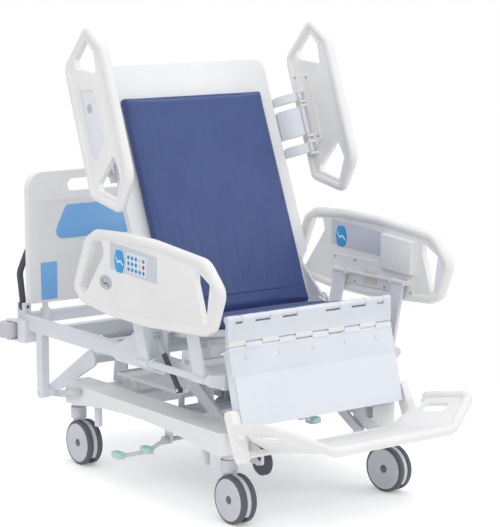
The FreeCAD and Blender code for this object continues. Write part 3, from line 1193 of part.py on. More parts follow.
def deck_sheet(foot_y, head_y):
    half = DECK_HALF_WIDTH
    bottom = DECK_TOP_Z - DECK_THICKNESS
    plan = rectangle((-half, half), (foot_y, head_y))
    inner = [(x - math.copysign(DECK_WALL, x), y - math.copysign(DECK_WALL, y - (foot_y + head_y) / 2))
             for x, y in plan]
    sheet = plate_z(plan, 16, bottom, DECK_TOP_Z)
    return sheet.cut(plate_z(inner, 12, bottom - 1, DECK_TOP_Z - DECK_WALL))


def hinge_eyes(places, toward):
    eyes = []
    for low, high in places:
        block = box((low, high), sorted((THIGH_HINGE_Y, THIGH_HINGE_Y + toward * (HINGE_GAP + 3))),
                    (THIGH_HINGE_Z - 8, THIGH_HINGE_Z + 8))
        eye = rod_x(THIGH_HINGE_Y, THIGH_HINGE_Z, THIGH_EYE_RADIUS, low, high)
        eyes.extend(both_sides(fuse([block, eye])))
    return eyes


def seat_deck():
    inner_x = SEAT_PLATE_X - SEAT_PLATE_THICKNESS
    middle_z = DECK_TOP_Z - DECK_THICKNESS / 2
    plate = link_plate((HIP_Y, HIP_Z), (THIGH_HINGE_Y + 32, middle_z), 18, DECK_THICKNESS / 2, inner_x,
                       SEAT_PLATE_X)
    plate = plate.cut(rod_x(HIP_Y, HIP_Z, HIP_PIN_RADIUS + RUNNING_GAP, inner_x - 1, SEAT_PLATE_X + 1))
    tie = box((DECK_HALF_WIDTH - 3, inner_x + 2), (THIGH_HINGE_Y + 22, THIGH_HINGE_Y + 72),
              (middle_z - 8, middle_z + 8))
    reach = SEAT_EYES[1][1]
    pin = rod_x(THIGH_HINGE_Y, THIGH_HINGE_Z, THIGH_PIN_RADIUS, -reach, reach)
    parts = [deck_sheet(THIGH_HINGE_Y + HINGE_GAP, SEAT_HEAD_Y), pin] + both_sides(fuse([plate, tie]))
    return tilted(fuse(parts + hinge_eyes(SEAT_EYES, 1)))


def knee_links():
    # Each link stands in a notch of the leg section's curled edge, and its neck turns down to the deck
    links = []
    neck_head = THIGH_FOOT_Y + 7
    neck_foot = THIGH_FOOT_Y - 14
    low_z = DECK_TOP_Z - DECK_THICKNESS + 4
    eye = KNEE_EYE_RADIUS
    outline = [(KNEE_Y, KNEE_Z + eye), (THIGH_FOOT_Y - 6, KNEE_Z + eye), (neck_head, KNEE_Z),
               (neck_head, low_z), (neck_foot, low_z), (neck_foot, KNEE_Z - 16), (KNEE_Y + 14, KNEE_Z - eye),
               (KNEE_Y, KNEE_Z - eye)]
    for centre, width in KNUCKLES:
        low, high = centre - width / 2, centre + width / 2
        neck = plate_x(outline, [0, 8, 8, 0, 0, 6, 0, 0], low, high)
        links.extend(both_sides(fuse([neck, rod_x(KNEE_Y, KNEE_Z, eye, low, high)])))
    return links


def thigh_deck():
    sheet = deck_sheet(THIGH_FOOT_Y, THIGH_HINGE_Y - HINGE_GAP)
    deck = fuse([sheet] + hinge_eyes(THIGH_EYES, -1) + knee_links())
    reach = DECK_HALF_WIDTH + 1
    deck = deck.cut(rod_x(THIGH_HINGE_Y, THIGH_HINGE_Z, THIGH_PIN_RADIUS + RUNNING_GAP, -reach, reach))
    deck = deck.cut(rod_x(KNEE_Y, KNEE_Z, KNEE_PIN_RADIUS + RUNNING_GAP, -reach, reach))
    return tilted(deck)


def pad(foot_y, head_y):
    half = SEAT_PAD_HALF_WIDTH
    plan = rectangle((-half, half), (foot_y, head_y))
    return tilted(plate_z(plan, 12, DECK_TOP_Z + SEAT_GAP, DECK_TOP_Z + SEAT_PAD_THICKNESS))


# Leg section

def knee():
    offset = Vector(0, KNEE_Y - HIP_Y, KNEE_Z - HIP_Z)
    angle = math.radians(-SEAT_TILT)
    return (HIP_Y + offset.y * math.cos(angle) - offset.z * math.sin(angle),
            HIP_Z + offset.y * math.sin(angle) + offset.z * math.cos(angle))


def leg_hinge():
    y, z = knee()
    return y - KNEE_RADIUS + LEG_THICKNESS / 2, z - LEG_UPPER_LENGTH


def leg_upper_panel():
    knee_y, knee_z = knee()
    hinge_z = leg_hinge()[1]
    front = knee_y - KNEE_RADIUS
    half = LEG_HALF_WIDTH
    sheet = box((-half, half), (front, front + LEG_THICKNESS), (hinge_z + TAB_RADIUS + 2, knee_z))
    panel = fuse([sheet, rod_x(knee_y, knee_z, KNEE_RADIUS, -half, half)])
    for centre, width in KNUCKLES:
        low, high = centre - width / 2 - KNUCKLE_GAP, centre + width / 2 + KNUCKLE_GAP
        notch = box((low, high), (front - 1, knee_y + KNEE_RADIUS + 1),
                    (knee_z - KNEE_RADIUS - 2, knee_z + KNEE_RADIUS + 1))
        for shape in both_sides(notch):
            panel = panel.cut(shape)
    return fuse([panel, rod_x(knee_y, knee_z, KNEE_PIN_RADIUS, -half, half)])


def tab_spans(first):
    width = 2 * LEG_HALF_WIDTH / TAB_COUNT
    return [(-LEG_HALF_WIDTH + index * width + 1, -LEG_HALF_WIDTH + (index + 1) * width - 1)
            for index in range(first, TAB_COUNT, 2)]


def tabs(first, toward):
    # Each tab is a thin plate on the panel's face with its own knuckle on the hinge line
    hinge_y, hinge_z = leg_hinge()
    front = hinge_y - LEG_THICKNESS / 2
    shapes = []
    for low, high in tab_spans(first):
        plate = box((low, high), (front - TAB_PLATE, front), sorted((hinge_z, hinge_z + toward * TAB_BAND)))
        shapes.append(fuse([plate, rod_x(hinge_y, hinge_z, TAB_RADIUS, low, high)]))
    return shapes


def leg_hinge_tabs():
    hinge_y, hinge_z = leg_hinge()
    pin = rod_x(hinge_y, hinge_z, TAB_PIN_RADIUS, -LEG_HALF_WIDTH + 1, LEG_HALF_WIDTH - 1)
    return fuse(tabs(0, 1) + [pin])


def leg_lower_panel():
    hinge_y, hinge_z = leg_hinge()
    front = hinge_y - LEG_THICKNESS / 2
    top = hinge_z - TAB_RADIUS - 2
    bottom = hinge_z - LEG_LOWER_LENGTH
    parts = [box((-LEG_HALF_WIDTH, LEG_HALF_WIDTH), (front, front + LEG_THICKNESS), (bottom, top)),
             box((-LEG_HALF_WIDTH + 6, LEG_HALF_WIDTH - 6), (front - FOLD_STEP, front + 1),
                 (bottom, hinge_z - FOLD_DISTANCE))]
    parts.extend(both_sides(box((LEG_HALF_WIDTH - 3, LEG_HALF_WIDTH), (front, front + LEG_FLANGE_DEPTH),
                                (bottom, top - 8))))
    for index in range(RIVET_COUNT):
        x = (index - (RIVET_COUNT - 1) / 2) * RIVET_PITCH
        parts.append(rod_y(x, hinge_z - RIVET_DISTANCE, RIVET_RADIUS, front - 3, front + 1))
    reach = LEG_HALF_WIDTH + 1
    lower_tabs = fuse(tabs(1, -1)).cut(rod_x(hinge_y, hinge_z, TAB_PIN_RADIUS + RUNNING_GAP, -reach, reach))
    return turned_x(fuse(parts + [lower_tabs]), hinge_y, hinge_z, -LEG_LOWER_ANGLE)


def footboard_brackets():
    hinge_y, hinge_z = leg_hinge()
    angle = math.radians(LEG_LOWER_ANGLE)
    reach = LEG_LOWER_LENGTH - 44
    root = (hinge_y - reach * math.sin(angle) + 8, hinge_z - reach * math.cos(angle))
    plate = link_plate(FOOT_PIVOT, root, KNOB_RADIUS, 22, BRACKET_INNER_X, BRACKET_OUTER_X)
    boss = rod_x(root[0], root[1], 14, LEG_HALF_WIDTH, BRACKET_INNER_X + 1)
    bore = rod_x(FOOT_PIVOT[0], FOOT_PIVOT[1], FOOT_PIN_RADIUS + RUNNING_GAP, BRACKET_INNER_X - 1,
                 BRACKET_OUTER_X - 6)
    return both_sides(fuse([plate, boss]).cut(bore))


# Footboard, built level and then sloped about its pivot

def footboard():
    pivot_y, pivot_z = FOOT_PIVOT
    half = FOOT_SHEET / 2
    wing = FOOT_WING_HALF_WIDTH
    floor = FOOT_FLOOR_HALF_WIDTH
    rise = FOOT_WING_RISE
    front = pivot_y - FOOT_BAR_REACH
    wing_front = pivot_y - FOOT_WING_FRONT
    wing_rear = pivot_y - FOOT_WING_REAR
    section = [(-wing, pivot_z + rise + half), (-floor, pivot_z + half), (floor, pivot_z + half),
               (wing, pivot_z + rise + half), (wing, pivot_z + rise - half), (floor, pivot_z - half),
               (-floor, pivot_z - half), (-wing, pivot_z + rise - half)]
    sheet = plate_y(section, [0, 60, 60, 0, 0, 60, 60, 0], front, pivot_y - 6)
    plan = [(-wing, wing_rear), (-wing, wing_front), (-floor, front), (floor, front), (wing, wing_front),
            (wing, wing_rear), (floor, pivot_y - 6), (-floor, pivot_y - 6)]
    sheet = sheet.common(plate_z(plan, [0, 60, 70, 70, 60, 0, 30, 30], pivot_z - 50, pivot_z + rise + 60))
    handle = [(wing - 86, wing_front + 60), (wing - 44, wing_front + 60), (wing - 44, wing_rear - 40),
              (wing - 86, wing_rear - 40)]
    cutter = plate_z(handle, 20, pivot_z - 20, pivot_z + rise + 40)
    notch = box((BRACKET_INNER_X - 3, BRACKET_OUTER_X + 3), (wing_rear - FOOT_NOTCH_DEPTH, pivot_y),
                (pivot_z, pivot_z + rise + 40))
    for shape in both_sides(cutter) + both_sides(notch):
        sheet = sheet.cut(shape)
    rim_points = [Vector(-wing, wing_rear, pivot_z + rise), Vector(-wing, wing_front, pivot_z + rise),
                  Vector(-floor, front, pivot_z), Vector(floor, front, pivot_z),
                  Vector(wing, wing_front, pivot_z + rise), Vector(wing, wing_rear, pivot_z + rise)]
    rim = tube_along(rim_points, [0, 60, 70, 70, 60, 0], FOOT_RIM_RADIUS)
    crowns = [Part.makeSphere(FOOT_RIM_RADIUS, point) for point in (rim_points[0], rim_points[-1])]
    bar_reach = BRACKET_INNER_X - 3
    bar = rod_x(pivot_y, pivot_z, FOOT_BAR_RADIUS, -bar_reach, bar_reach)
    pin_reach = BRACKET_OUTER_X - 6 - BODY_GAP
    pin = rod_x(pivot_y, pivot_z, FOOT_PIN_RADIUS, -pin_reach, pin_reach)
    board = fuse([sheet, rim, bar, pin] + crowns)
    return turned_x(board, pivot_y, pivot_z, -FOOT_SLOPE)


# Side rails

def inset_outline(points, distance):
    # Every side moves inward by the same distance and the corners are found again
    following = points[1:] + points[:1]
    area = sum(a[0] * b[1] - b[0] * a[1] for a, b in zip(points, following))
    turn = math.copysign(1, area)
    lines = []
    for a, b in zip(points, following):
        along = ((b[0] - a[0]), (b[1] - a[1]))
        length = math.hypot(*along)
        step = turn * distance / length
        lines.append(((a[0] - along[1] * step, a[1] + along[0] * step), along))
    moved = []
    for index, (start, along) in enumerate(lines):
        last_start, last_along = lines[index - 1]
        cross = last_along[0] * along[1] - last_along[1] * along[0]
        gap = (start[0] - last_start[0], start[1] - last_start[1])
        share = (gap[0] * along[1] - gap[1] * along[0]) / cross
        moved.append((last_start[0] + last_along[0] * share, last_start[1] + last_along[1] * share))
    return moved


def rail(outline, radii, openings, plate_outline, lugs):
    # A round rim, a flat panel with rounded openings, and the hinge plate with its lugs on the inner face
    centre_line = inset_outline(list(outline), RIM_RADIUS)
    line_radii = [max(radius - RIM_RADIUS, RIM_RADIUS + 2) for radius in radii]
    rim = tube_along([Vector(RAIL_X, y, z) for y, z in centre_line], line_radii, RIM_RADIUS, True)
    inner_face = RAIL_X - RAIL_PANEL / 2
    outer_face = RAIL_X + RAIL_PANEL / 2
    panel = plate_x(centre_line, line_radii, inner_face, outer_face)
    plate = plate_x(plate_outline, 14, inner_face - HINGE_PLATE_THICKNESS, inner_face + 1)
    whole = fuse([rim, panel, plate] + lugs)
    for opening in openings:
        whole = whole.cut(plate_x(opening, OPENING_RADIUS, RAIL_X - 40, RAIL_X + 40))
    return whole


def hinge_lugs(spans, pivot_z):
    inner_face = RAIL_X - RAIL_PANEL / 2
    lugs = []
    for low, high in spans:
        lug = box((RAIL_PIVOT_X - HINGE_LUG_HALF_HEIGHT, inner_face + 1), (low, high),
                  (pivot_z - HINGE_LUG_HALF_HEIGHT, pivot_z + HINGE_LUG_HALF_HEIGHT))
        bore = rod_y(RAIL_PIVOT_X, pivot_z, HINGE_PIN_RADIUS + RUNNING_GAP, low - 1, high + 1)
        lugs.append(lug.cut(bore))
    return lugs


def spans_between(bands):
    # The lugs stand on both sides of every arm
    ordered = sorted(bands)
    spans = [(ordered[0][0] - 1 - HINGE_LUG_WIDTH, ordered[0][0] - 1)]
    for near, far in zip(ordered, ordered[1:]):
        spans.append((near[1] + 1, near[1] + 1 + HINGE_LUG_WIDTH))
        spans.append((far[0] - 1 - HINGE_LUG_WIDTH, far[0] - 1))
    spans.append((ordered[-1][1] + 1, ordered[-1][1] + 1 + HINGE_LUG_WIDTH))
    return spans


def head_rail():
    bands = [(HIP_Y + low, HIP_Y + high) for low, high in HEAD_ARM_BANDS]
    lugs = [raised(lug) for lug in hinge_lugs(spans_between(bands), HIP_Z + HEAD_ARM_RAIL_DEPTH)]
    body = rail(HEAD_RAIL_OUTLINE, HEAD_RAIL_RADII, (HEAD_RAIL_UPPER_OPENING, HEAD_RAIL_LOWER_OPENING),
                HEAD_RAIL_PLATE, lugs)
    recess = plate_x(HEAD_RAIL_INSET, 10, RAIL_X + RAIL_PANEL / 2 - 3, RAIL_X + 40)
    return body.cut(recess)


def foot_rail():
    low_z, high_z = FOOT_RAIL_PLATE_Z
    bands = sorted(FOOT_ARM_BANDS)
    plate = rectangle((bands[0][0] - FOOT_RAIL_PLATE_MARGIN, bands[1][1] + FOOT_RAIL_PLATE_MARGIN),
                      (low_z, high_z))
    lugs = hinge_lugs(spans_between(bands), FOOT_ARM_RAIL_Z)
    return rail(FOOT_RAIL_OUTLINE, FOOT_RAIL_RADII, (FOOT_RAIL_HEAD_OPENING, FOOT_RAIL_FOOT_OPENING),
                plate, lugs)


def foot_rail_arms():
    pivot = (FOOT_ARM_PIVOT_X, FOOT_ARM_PIVOT_Z)
    end = (RAIL_PIVOT_X, FOOT_ARM_RAIL_Z)
    arms = [link_bar(pivot, end, 16, 11, FOOT_ARM_THICKNESS, low, high) for low, high in FOOT_ARM_BANDS]
    bands = sorted(FOOT_ARM_BANDS)
    arms.append(rod_y(pivot[0], pivot[1], FOOT_ARM_TUBE_RADIUS, FRAME_LUG_PLACES_Y[0][0] + 1,
                      SHOULDER_LUG_PLACES_Y[-1][1] - 1))
    arms.append(rod_y(end[0], end[1], HINGE_PIN_RADIUS, bands[0][0] - HINGE_LUG_WIDTH,
                      bands[1][1] + HINGE_LUG_WIDTH))
    return fuse(arms)


# Gas springs

def gas_point(distance):
    span = (GAS_HIGH[0] - GAS_LOW[0], GAS_HIGH[1] - GAS_LOW[1])
    length = math.hypot(*span)
    return Vector(GAS_X, GAS_LOW[0] + span[0] * distance / length, GAS_LOW[1] + span[1] * distance / length)


def gas_eye(place):
    low, high = GAS_X - GAS_EYE_WIDTH / 2, GAS_X + GAS_EYE_WIDTH / 2
    return rod_x(place[0], place[1], GAS_EYE_RADIUS, low, high)


def gas_eye_bore(place):
    return rod_x(place[0], place[1], GAS_PIN_RADIUS + RUNNING_GAP, GAS_X - 20, GAS_X + 20)


def gas_spring_barrel():
    tube = rod_between(gas_point(4), gas_point(GAS_BARREL_LENGTH), GAS_BARREL_RADIUS)
    barrel = fuse([gas_eye(GAS_LOW), tube])
    bore = rod_between(gas_point(GAS_BORE_START), gas_point(GAS_BARREL_LENGTH + 1), GAS_BORE_RADIUS)
    barrel = barrel.cut(bore)
    return barrel.cut(gas_eye_bore(GAS_LOW))


def gas_spring_rod():
    span = math.hypot(GAS_HIGH[0] - GAS_LOW[0], GAS_HIGH[1] - GAS_LOW[1])
    shank = rod_between(gas_point(GAS_ROD_START), gas_point(span - 4), GAS_ROD_RADIUS)
    return fuse([gas_eye(GAS_HIGH), shank]).cut(gas_eye_bore(GAS_HIGH))


# The whole bed

def pair(name, shape):
    # Minus X is the patient's right
    keep(name + "_left", shape)
    keep(name + "_right", mirrored(shape))


def build():
    keep("base_frame", base_frame())
    pair("base_cover", side_cover())
    keep("base_tray", base_tray())
    keep("base_sockets", base_sockets())
    keep("lift_actuator", lift_actuator())
    keep("lift_rod", lift_rod())
    casters()
    keep("brake_pedals", brake_pedals())
    keep("rocker_pedals", rocker_pedals())
    keep("fifth_wheel_arm", fifth_wheel_arm())
    keep("fifth_wheel", fifth_wheel())
    keep("head_lever", head_lever())
    keep("foot_lever", foot_lever())
    keep("upper_frame", upper_frame())
    keep("shoulder_plates", shoulder_plates())
    keep("headboard", headboard())
    keep("backrest_actuator", backrest_actuator())
    keep("backrest_rod", backrest_rod())
    keep("control_box", control_box())
    pair("bumper", bumper())
    pair("push_handle", push_handle())
    keep("backrest_panel", backrest_panel())
    keep("backrest_pad", backrest_pad())
    keep("backrest_arms", backrest_arms())
    keep("seat_deck", seat_deck())
    keep("seat_pad", pad(SEAT_PAD_FOOT_Y, SEAT_HEAD_Y))
    keep("thigh_deck", thigh_deck())
    keep("thigh_pad", pad(THIGH_PAD_FOOT_Y, THIGH_PAD_HEAD_Y))
    keep("leg_upper_panel", leg_upper_panel())
    keep("leg_hinge_tabs", leg_hinge_tabs())
    keep("leg_lower_panel", leg_lower_panel())
    keep("footboard_brackets", footboard_brackets())
    keep("footboard", footboard())
    pair("head_rail_arms", head_rail_arms())
    pair("head_rail", head_rail())
    pair("foot_rail_arms", foot_rail_arms())
    pair("foot_rail", foot_rail())
    keep("gas_spring_barrels", both_sides(gas_spring_barrel()))
    keep("gas_spring_rods", both_sides(gas_spring_rod()))


def write_nodes():
    os.makedirs("parts", exist_ok=True)
    for name, solids in NODES.items():
        shape = solids[0] if len(solids) == 1 else Part.makeCompound(solids)
        shape.translate(Vector(0, MIDDLE_SHIFT_Y, 0))
        shape.exportStep("parts/" + name + ".step")


build()
write_nodes()
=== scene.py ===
import bpy
import bmesh
import math
import random
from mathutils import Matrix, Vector, noise


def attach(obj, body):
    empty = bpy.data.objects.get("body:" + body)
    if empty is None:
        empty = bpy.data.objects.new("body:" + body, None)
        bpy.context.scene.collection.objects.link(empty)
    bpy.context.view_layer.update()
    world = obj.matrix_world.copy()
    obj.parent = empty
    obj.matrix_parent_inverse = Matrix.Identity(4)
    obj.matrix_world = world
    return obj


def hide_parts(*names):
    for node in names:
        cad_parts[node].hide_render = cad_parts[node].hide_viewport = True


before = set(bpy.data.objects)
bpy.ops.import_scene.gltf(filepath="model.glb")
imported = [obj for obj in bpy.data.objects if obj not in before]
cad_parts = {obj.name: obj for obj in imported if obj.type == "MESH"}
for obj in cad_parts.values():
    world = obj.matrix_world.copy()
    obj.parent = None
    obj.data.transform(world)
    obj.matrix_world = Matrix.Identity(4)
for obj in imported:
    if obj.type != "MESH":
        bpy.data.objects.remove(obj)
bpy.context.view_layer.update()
print("frame loaded")

# The sizes below are in millimetres about the lying surface, as the solids were measured.
# The frame is centred on the whole bed, so every point is moved by this much along the bed.
rowShift = -28.066
hipY = -77.0
hipZ = 661.0
backAngle = math.radians(68)
seatTilt = math.radians(10)
hands = ((-1, "Right"), (1, "Left"))  # the patient's right lies towards minus x


def at(x, y, z):
    return Vector((x, y + rowShift, z)) / 1000


def turnedAboutHip(x, along, out, angle):
    # along runs away from the hip and out is the patient's side
    y = hipY + along * math.cos(angle) - out * math.sin(angle)
    z = hipZ + along * math.sin(angle) + out * math.cos(angle)
    return at(x, y, z)


def onBack(x, along, out):
    return turnedAboutHip(x, along, out, backAngle)


def onSeat(x, y, z):
    return turnedAboutHip(x, y - hipY, z - hipZ, -seatTilt)


def hexColour(text):
    def channel(pair):
        value = int(pair, 16) / 255
        return value / 12.92 if value <= 0.04045 else ((value + 0.055) / 1.055) ** 2.4
    return (channel(text[0:2]), channel(text[2:4]), channel(text[4:6]), 1.0)


def addNode(tree, kind, inputs=None, links=None, **settings):
    node = tree.nodes.new(kind)
    for key, value in settings.items():
        setattr(node, key, value)
    for key, value in (inputs or {}).items():
        node.inputs[key].default_value = value
    for key, source in (links or {}).items():
        tree.links.new(source, node.inputs[key])
    return node


def finishMesh(name, mesh, body, material, smooth=35):
    piece = bpy.data.objects.new(name, mesh)
    bpy.context.scene.collection.objects.link(piece)
    mesh.materials.clear()
    mesh.materials.append(material)
    for polygon in mesh.polygons:
        polygon.use_smooth = True
        polygon.material_index = 0
    mesh.set_sharp_from_angle(angle=math.radians(smooth))
    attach(piece, body)
    return piece


def closedMesh(name, bm):
    bmesh.ops.remove_doubles(bm, verts=bm.verts, dist=1e-6)
    bmesh.ops.recalc_face_normals(bm, faces=bm.faces)
    mesh = bpy.data.meshes.new(name)
    bm.to_mesh(mesh)
    bm.free()
    return mesh


def evaluatedCopy(name, piece):
    view = bpy.context.evaluated_depsgraph_get()
    mesh = bpy.data.meshes.new_from_object(piece.evaluated_get(view), depsgraph=view)
    mesh.name = name
    return mesh


arcShare = 0.45  # a corner's arc takes up less than half of an edge


def roundedOutline(points, radius, steps=6):
    # each corner becomes an arc between the two tangent points
    rounded = []
    count = len(points)
    for index in range(count):
        corner = Vector(points[index])
        before = Vector(points[index - 1]) - corner
        after = Vector(points[(index + 1) % count]) - corner
        reach = min(radius, before.length * arcShare, after.length * arcShare)
        start = corner + before.normalized() * reach
        end = corner + after.normalized() * reach
        for step in range(steps + 1):
            share = step / steps
            pull = 2 * share * (1 - share)
            rounded.append((1 - share) ** 2 * start + pull * corner + share ** 2 * end)
    return rounded


def insetLoop(points, distance):
    # every point moves inwards along the mean of its two edge normals
    area = sum(a.x * b.y - b.x * a.y for a, b in zip(points, points[1:] + points[:1])) / 2
    turn = 1 if area > 0 else -1
    moved = []
    for index, point in enumerate(points):
        before = (point - points[index - 1]).normalized()
        after = (points[(index + 1) % len(points)] - point).normalized()
        mean = Vector((-(before.y + after.y), before.x + after.x))
        if mean.length > 1e-6:
            moved.append(point + mean.normalized() * distance * turn)
        else:
            moved.append(point.copy())
    return moved


def slab(name, outline, radius, low, high, bevel, place, body, slot, material):
    # a flat moulded plate: place(a, b, depth) puts it on its surface, and its front edge is rounded
    loop = roundedOutline(outline, radius)
    halfway = bevel * 0.3  # the middle of the rounded edge lies this far from both faces
    rings = [(0, low), (0, high - bevel), (halfway, high - halfway), (bevel, high)]
    bm = bmesh.new()
    rows = []
    for inset, depth in rings:
        points = insetLoop(loop, inset) if inset else loop
        rows.append([bm.verts.new(place(point.x, point.y, depth)) for point in points])
    for lower, upper in zip(rows, rows[1:]):
        for index in range(len(loop)):
            following = (index + 1) % len(loop)
            bm.faces.new((lower[index], lower[following], upper[following], upper[index]))
    bm.faces.new(rows[0])
    bm.faces.new(rows[-1])
    return finishMesh(name, closedMesh(name, bm), body, material)


def lathe(name, profile, segments, place, body, material):
    # profile runs from the axis out and back to it, as pairs of radius and height
    bm = bmesh.new()
    rows = []
    for step in range(segments):
        angle = 2 * math.pi * step / segments
        rows.append([bm.verts.new(place(radius * math.cos(angle), radius * math.sin(angle), height))
                     for radius, height in profile])
    for index in range(segments):
        near, far = rows[index], rows[(index + 1) % segments]
        for step in range(len(profile) - 1):
            bm.faces.new((near[step], near[step + 1], far[step + 1], far[step]))
    for end in (0, -1):
        if profile[end][0] > 0:
            bm.faces.new([row[end] for row in rows])
    bmesh.ops.dissolve_degenerate(bm, dist=1e-7, edges=bm.edges)
    return finishMesh(name, closedMesh(name, bm), body, material)


finishes = {
    # powder-coated steel: satin, with a faint orange peel
    "powderCoat": dict(colour="D4D6DB", shade="C8CBD2", roughness=0.38, grainMm=1.6, grainDepth=0.06),
    # moulded ABS shells of the base: fine spark texture
    "shellAbs": dict(colour="DADBDB", shade="CFD1D2", roughness=0.5, grainMm=0.9, grainDepth=0.05),
    # blow-moulded polyethylene of the rails and boards: soft satin with a slow waviness
    "railPolyethylene": dict(colour="E6E5E4", shade="DBDADA", roughness=0.36, grainMm=2.2, grainDepth=0.08),
    "boardPolyethylene": dict(colour="DFDFE0", shade="D4D5D7", roughness=0.42, grainMm=1.8, grainDepth=0.07),
    # moulded leg panels: a little cooler and shinier
    "panelAbs": dict(colour="D8DBE2", shade="CDD1DA", roughness=0.4, grainMm=1.4, grainDepth=0.05),
    # moulded nylon of the hinge tabs, housings and hubs: matt, with a fine even grain
    "bandNylon": dict(colour="E4E3E0", shade="D8D7D4", roughness=0.5, grainMm=1.2, grainDepth=0.05),
    "housingNylon": dict(colour="9A9EA6", shade="8A8E96", roughness=0.5, grainMm=0.8, grainDepth=0.06),
    "hubNylon": dict(colour="C4C4CA", shade="B5B5BC", roughness=0.42, grainMm=1.0, grainDepth=0.05),
    # rubber caps over the hub screws: dark and dull
    "capRubber": dict(colour="62666F", shade="54575F", roughness=0.5, grainMm=0.8, grainDepth=0.05),
    # soft polyurethane tread: dark, matt, slightly dusty
    "treadPolyurethane": dict(colour="4B4D55", shade="5C5E66", roughness=0.58, grainMm=1.2, grainDepth=0.1),
    # pebbled rubber of the push handles: matt, nearly black
    "gripRubber": dict(colour="4A4C52", shade="3D3F45", roughness=0.6, grainMm=0.8, grainDepth=0.1),
    # ground and chromed actuator rods: bright mirror with a faint haze
    "groundChrome": dict(colour="D4D6DA", shade="C2C4C8", roughness=0.18, grainMm=0.6, grainDepth=0.02,
                         metallic=1.0),
    # zinc-plated screws: greyer and duller than the rods
    "zincScrew": dict(colour="B9BCC2", shade="A3A7AE", roughness=0.32, grainMm=0.5, grainDepth=0.02,
                      metallic=0.9),
    # soft pads of the brake pedals: pale turquoise, satin
    "turquoisePad": dict(colour="A9D3CC", shade="93C1BA", roughness=0.5, grainMm=1.0, grainDepth=0.08),
    # blue sheet let into the headboard: smooth and a little glossy
    "inlayBlue": dict(colour="7AAFE0", shade="6B9FD6", roughness=0.34, grainMm=1.4, grainDepth=0.03),
    # printed polyester membranes of the control panels: smooth, with a slight gloss
    "membraneGrey": dict(colour="C6CBD3", shade="BEC4CD", roughness=0.3, grainMm=0.6, grainDepth=0.02),
    "membranePale": dict(colour="DDE1E6", shade="D2D8DF", roughness=0.28, grainMm=0.6, grainDepth=0.02),
    "badgeBlue": dict(colour="2A9BD8", shade="2590CC", roughness=0.28, grainMm=0.6, grainDepth=0.02),
    "keyBlue": dict(colour="3D8FCB", shade="2F7FBB", roughness=0.35, grainMm=0.6, grainDepth=0.02),
    "keyRed": dict(colour="C8323C", shade="B92A34", roughness=0.35, grainMm=0.6, grainDepth=0.02),
    # printed signs and paper labels: flat colour, dull
    "printWhite": dict(colour="EDEFF0", shade="E2E5E7", roughness=0.4, grainMm=0.6, grainDepth=0.01),
    "labelGrey": dict(colour="B4BAC2", shade="A9AFB8", roughness=0.4, grainMm=0.6, grainDepth=0.01),
    "labelBeige": dict(colour="D9D6C8", shade="CDCABB", roughness=0.5, grainMm=0.6, grainDepth=0.01),
    "seamShadow": dict(colour="4A4E58", shade="3F434C", roughness=0.7, grainMm=0.8, grainDepth=0.03),
    # polyester sewing thread of the mattress hem
    "hemThread": dict(colour="33427A", shade="2B3968", roughness=0.7, grainMm=0.3, grainDepth=0.05),
}

# what all finishes share: a slow drift of tone, paler worn edges and smudges in the gloss
wear = {"driftScale": 7.0, "driftDetail": 3.0, "wornFrom": 0.52, "wornTo": 0.6, "wornMost": 0.35,
        "wornLighter": 1.12, "smudgeScale": 23.0, "smudgeDetail": 4.0, "glossier": 0.05, "duller": 0.08,
        "grainDetail": 2.0, "bumpStrength": 0.5}
grainPerMetre = 300  # and not 1000, so that the grain is drawn over three times as deep and shows


def makeFinish(name, colour, shade, roughness, grainMm, grainDepth, metallic=0.0):
    # the colour drifts slowly between two near tones, edges are worn a little paler and
    # the bump is the moulded or sprayed grain
    material = bpy.data.materials.new(name)
    material.use_nodes = True
    tree = material.node_tree
    shader = tree.nodes["Principled BSDF"]
    place = addNode(tree, "ShaderNodeTexCoord").outputs["Object"]
    drift = addNode(tree, "ShaderNodeTexNoise", {"Scale": wear["driftScale"], "Detail": wear["driftDetail"]},
                    {"Vector": place})
    tone = addNode(tree, "ShaderNodeMix", {6: hexColour(colour), 7: hexColour(shade)},
                   {0: drift.outputs["Fac"]}, data_type="RGBA")
    edges = addNode(tree, "ShaderNodeNewGeometry").outputs["Pointiness"]
    worn = addNode(tree, "ShaderNodeMapRange",
                   {"From Min": wear["wornFrom"], "From Max": wear["wornTo"], "To Max": wear["wornMost"]},
                   {"Value": edges})
    lighter = tuple(min(1.0, part * wear["wornLighter"]) for part in hexColour(colour))
    rubbed = addNode(tree, "ShaderNodeMix", {7: lighter}, {0: worn.outputs[0], 6: tone.outputs[2]},
                     data_type="RGBA")
    tree.links.new(rubbed.outputs[2], shader.inputs["Base Color"])
    smudge = addNode(tree, "ShaderNodeTexNoise",
                     {"Scale": wear["smudgeScale"], "Detail": wear["smudgeDetail"]}, {"Vector": place})
    gloss = addNode(tree, "ShaderNodeMapRange",
                    {"To Min": roughness - wear["glossier"], "To Max": roughness + wear["duller"]},
                    {"Value": smudge.outputs["Fac"]})
    tree.links.new(gloss.outputs[0], shader.inputs["Roughness"])
    shader.inputs["Metallic"].default_value = metallic
    grain = addNode(tree, "ShaderNodeTexNoise", {"Scale": 1000 / grainMm, "Detail": wear["grainDetail"]},
                    {"Vector": place})
    bump = addNode(tree, "ShaderNodeBump",
                   {"Strength": wear["bumpStrength"], "Distance": grainDepth / grainPerMetre},
                   {"Height": grain.outputs["Fac"]})
    tree.links.new(bump.outputs[0], shader.inputs["Normal"])
    return material


finish = {name: makeFinish(name, **values) for name, values in finishes.items()}
print("finishes made")

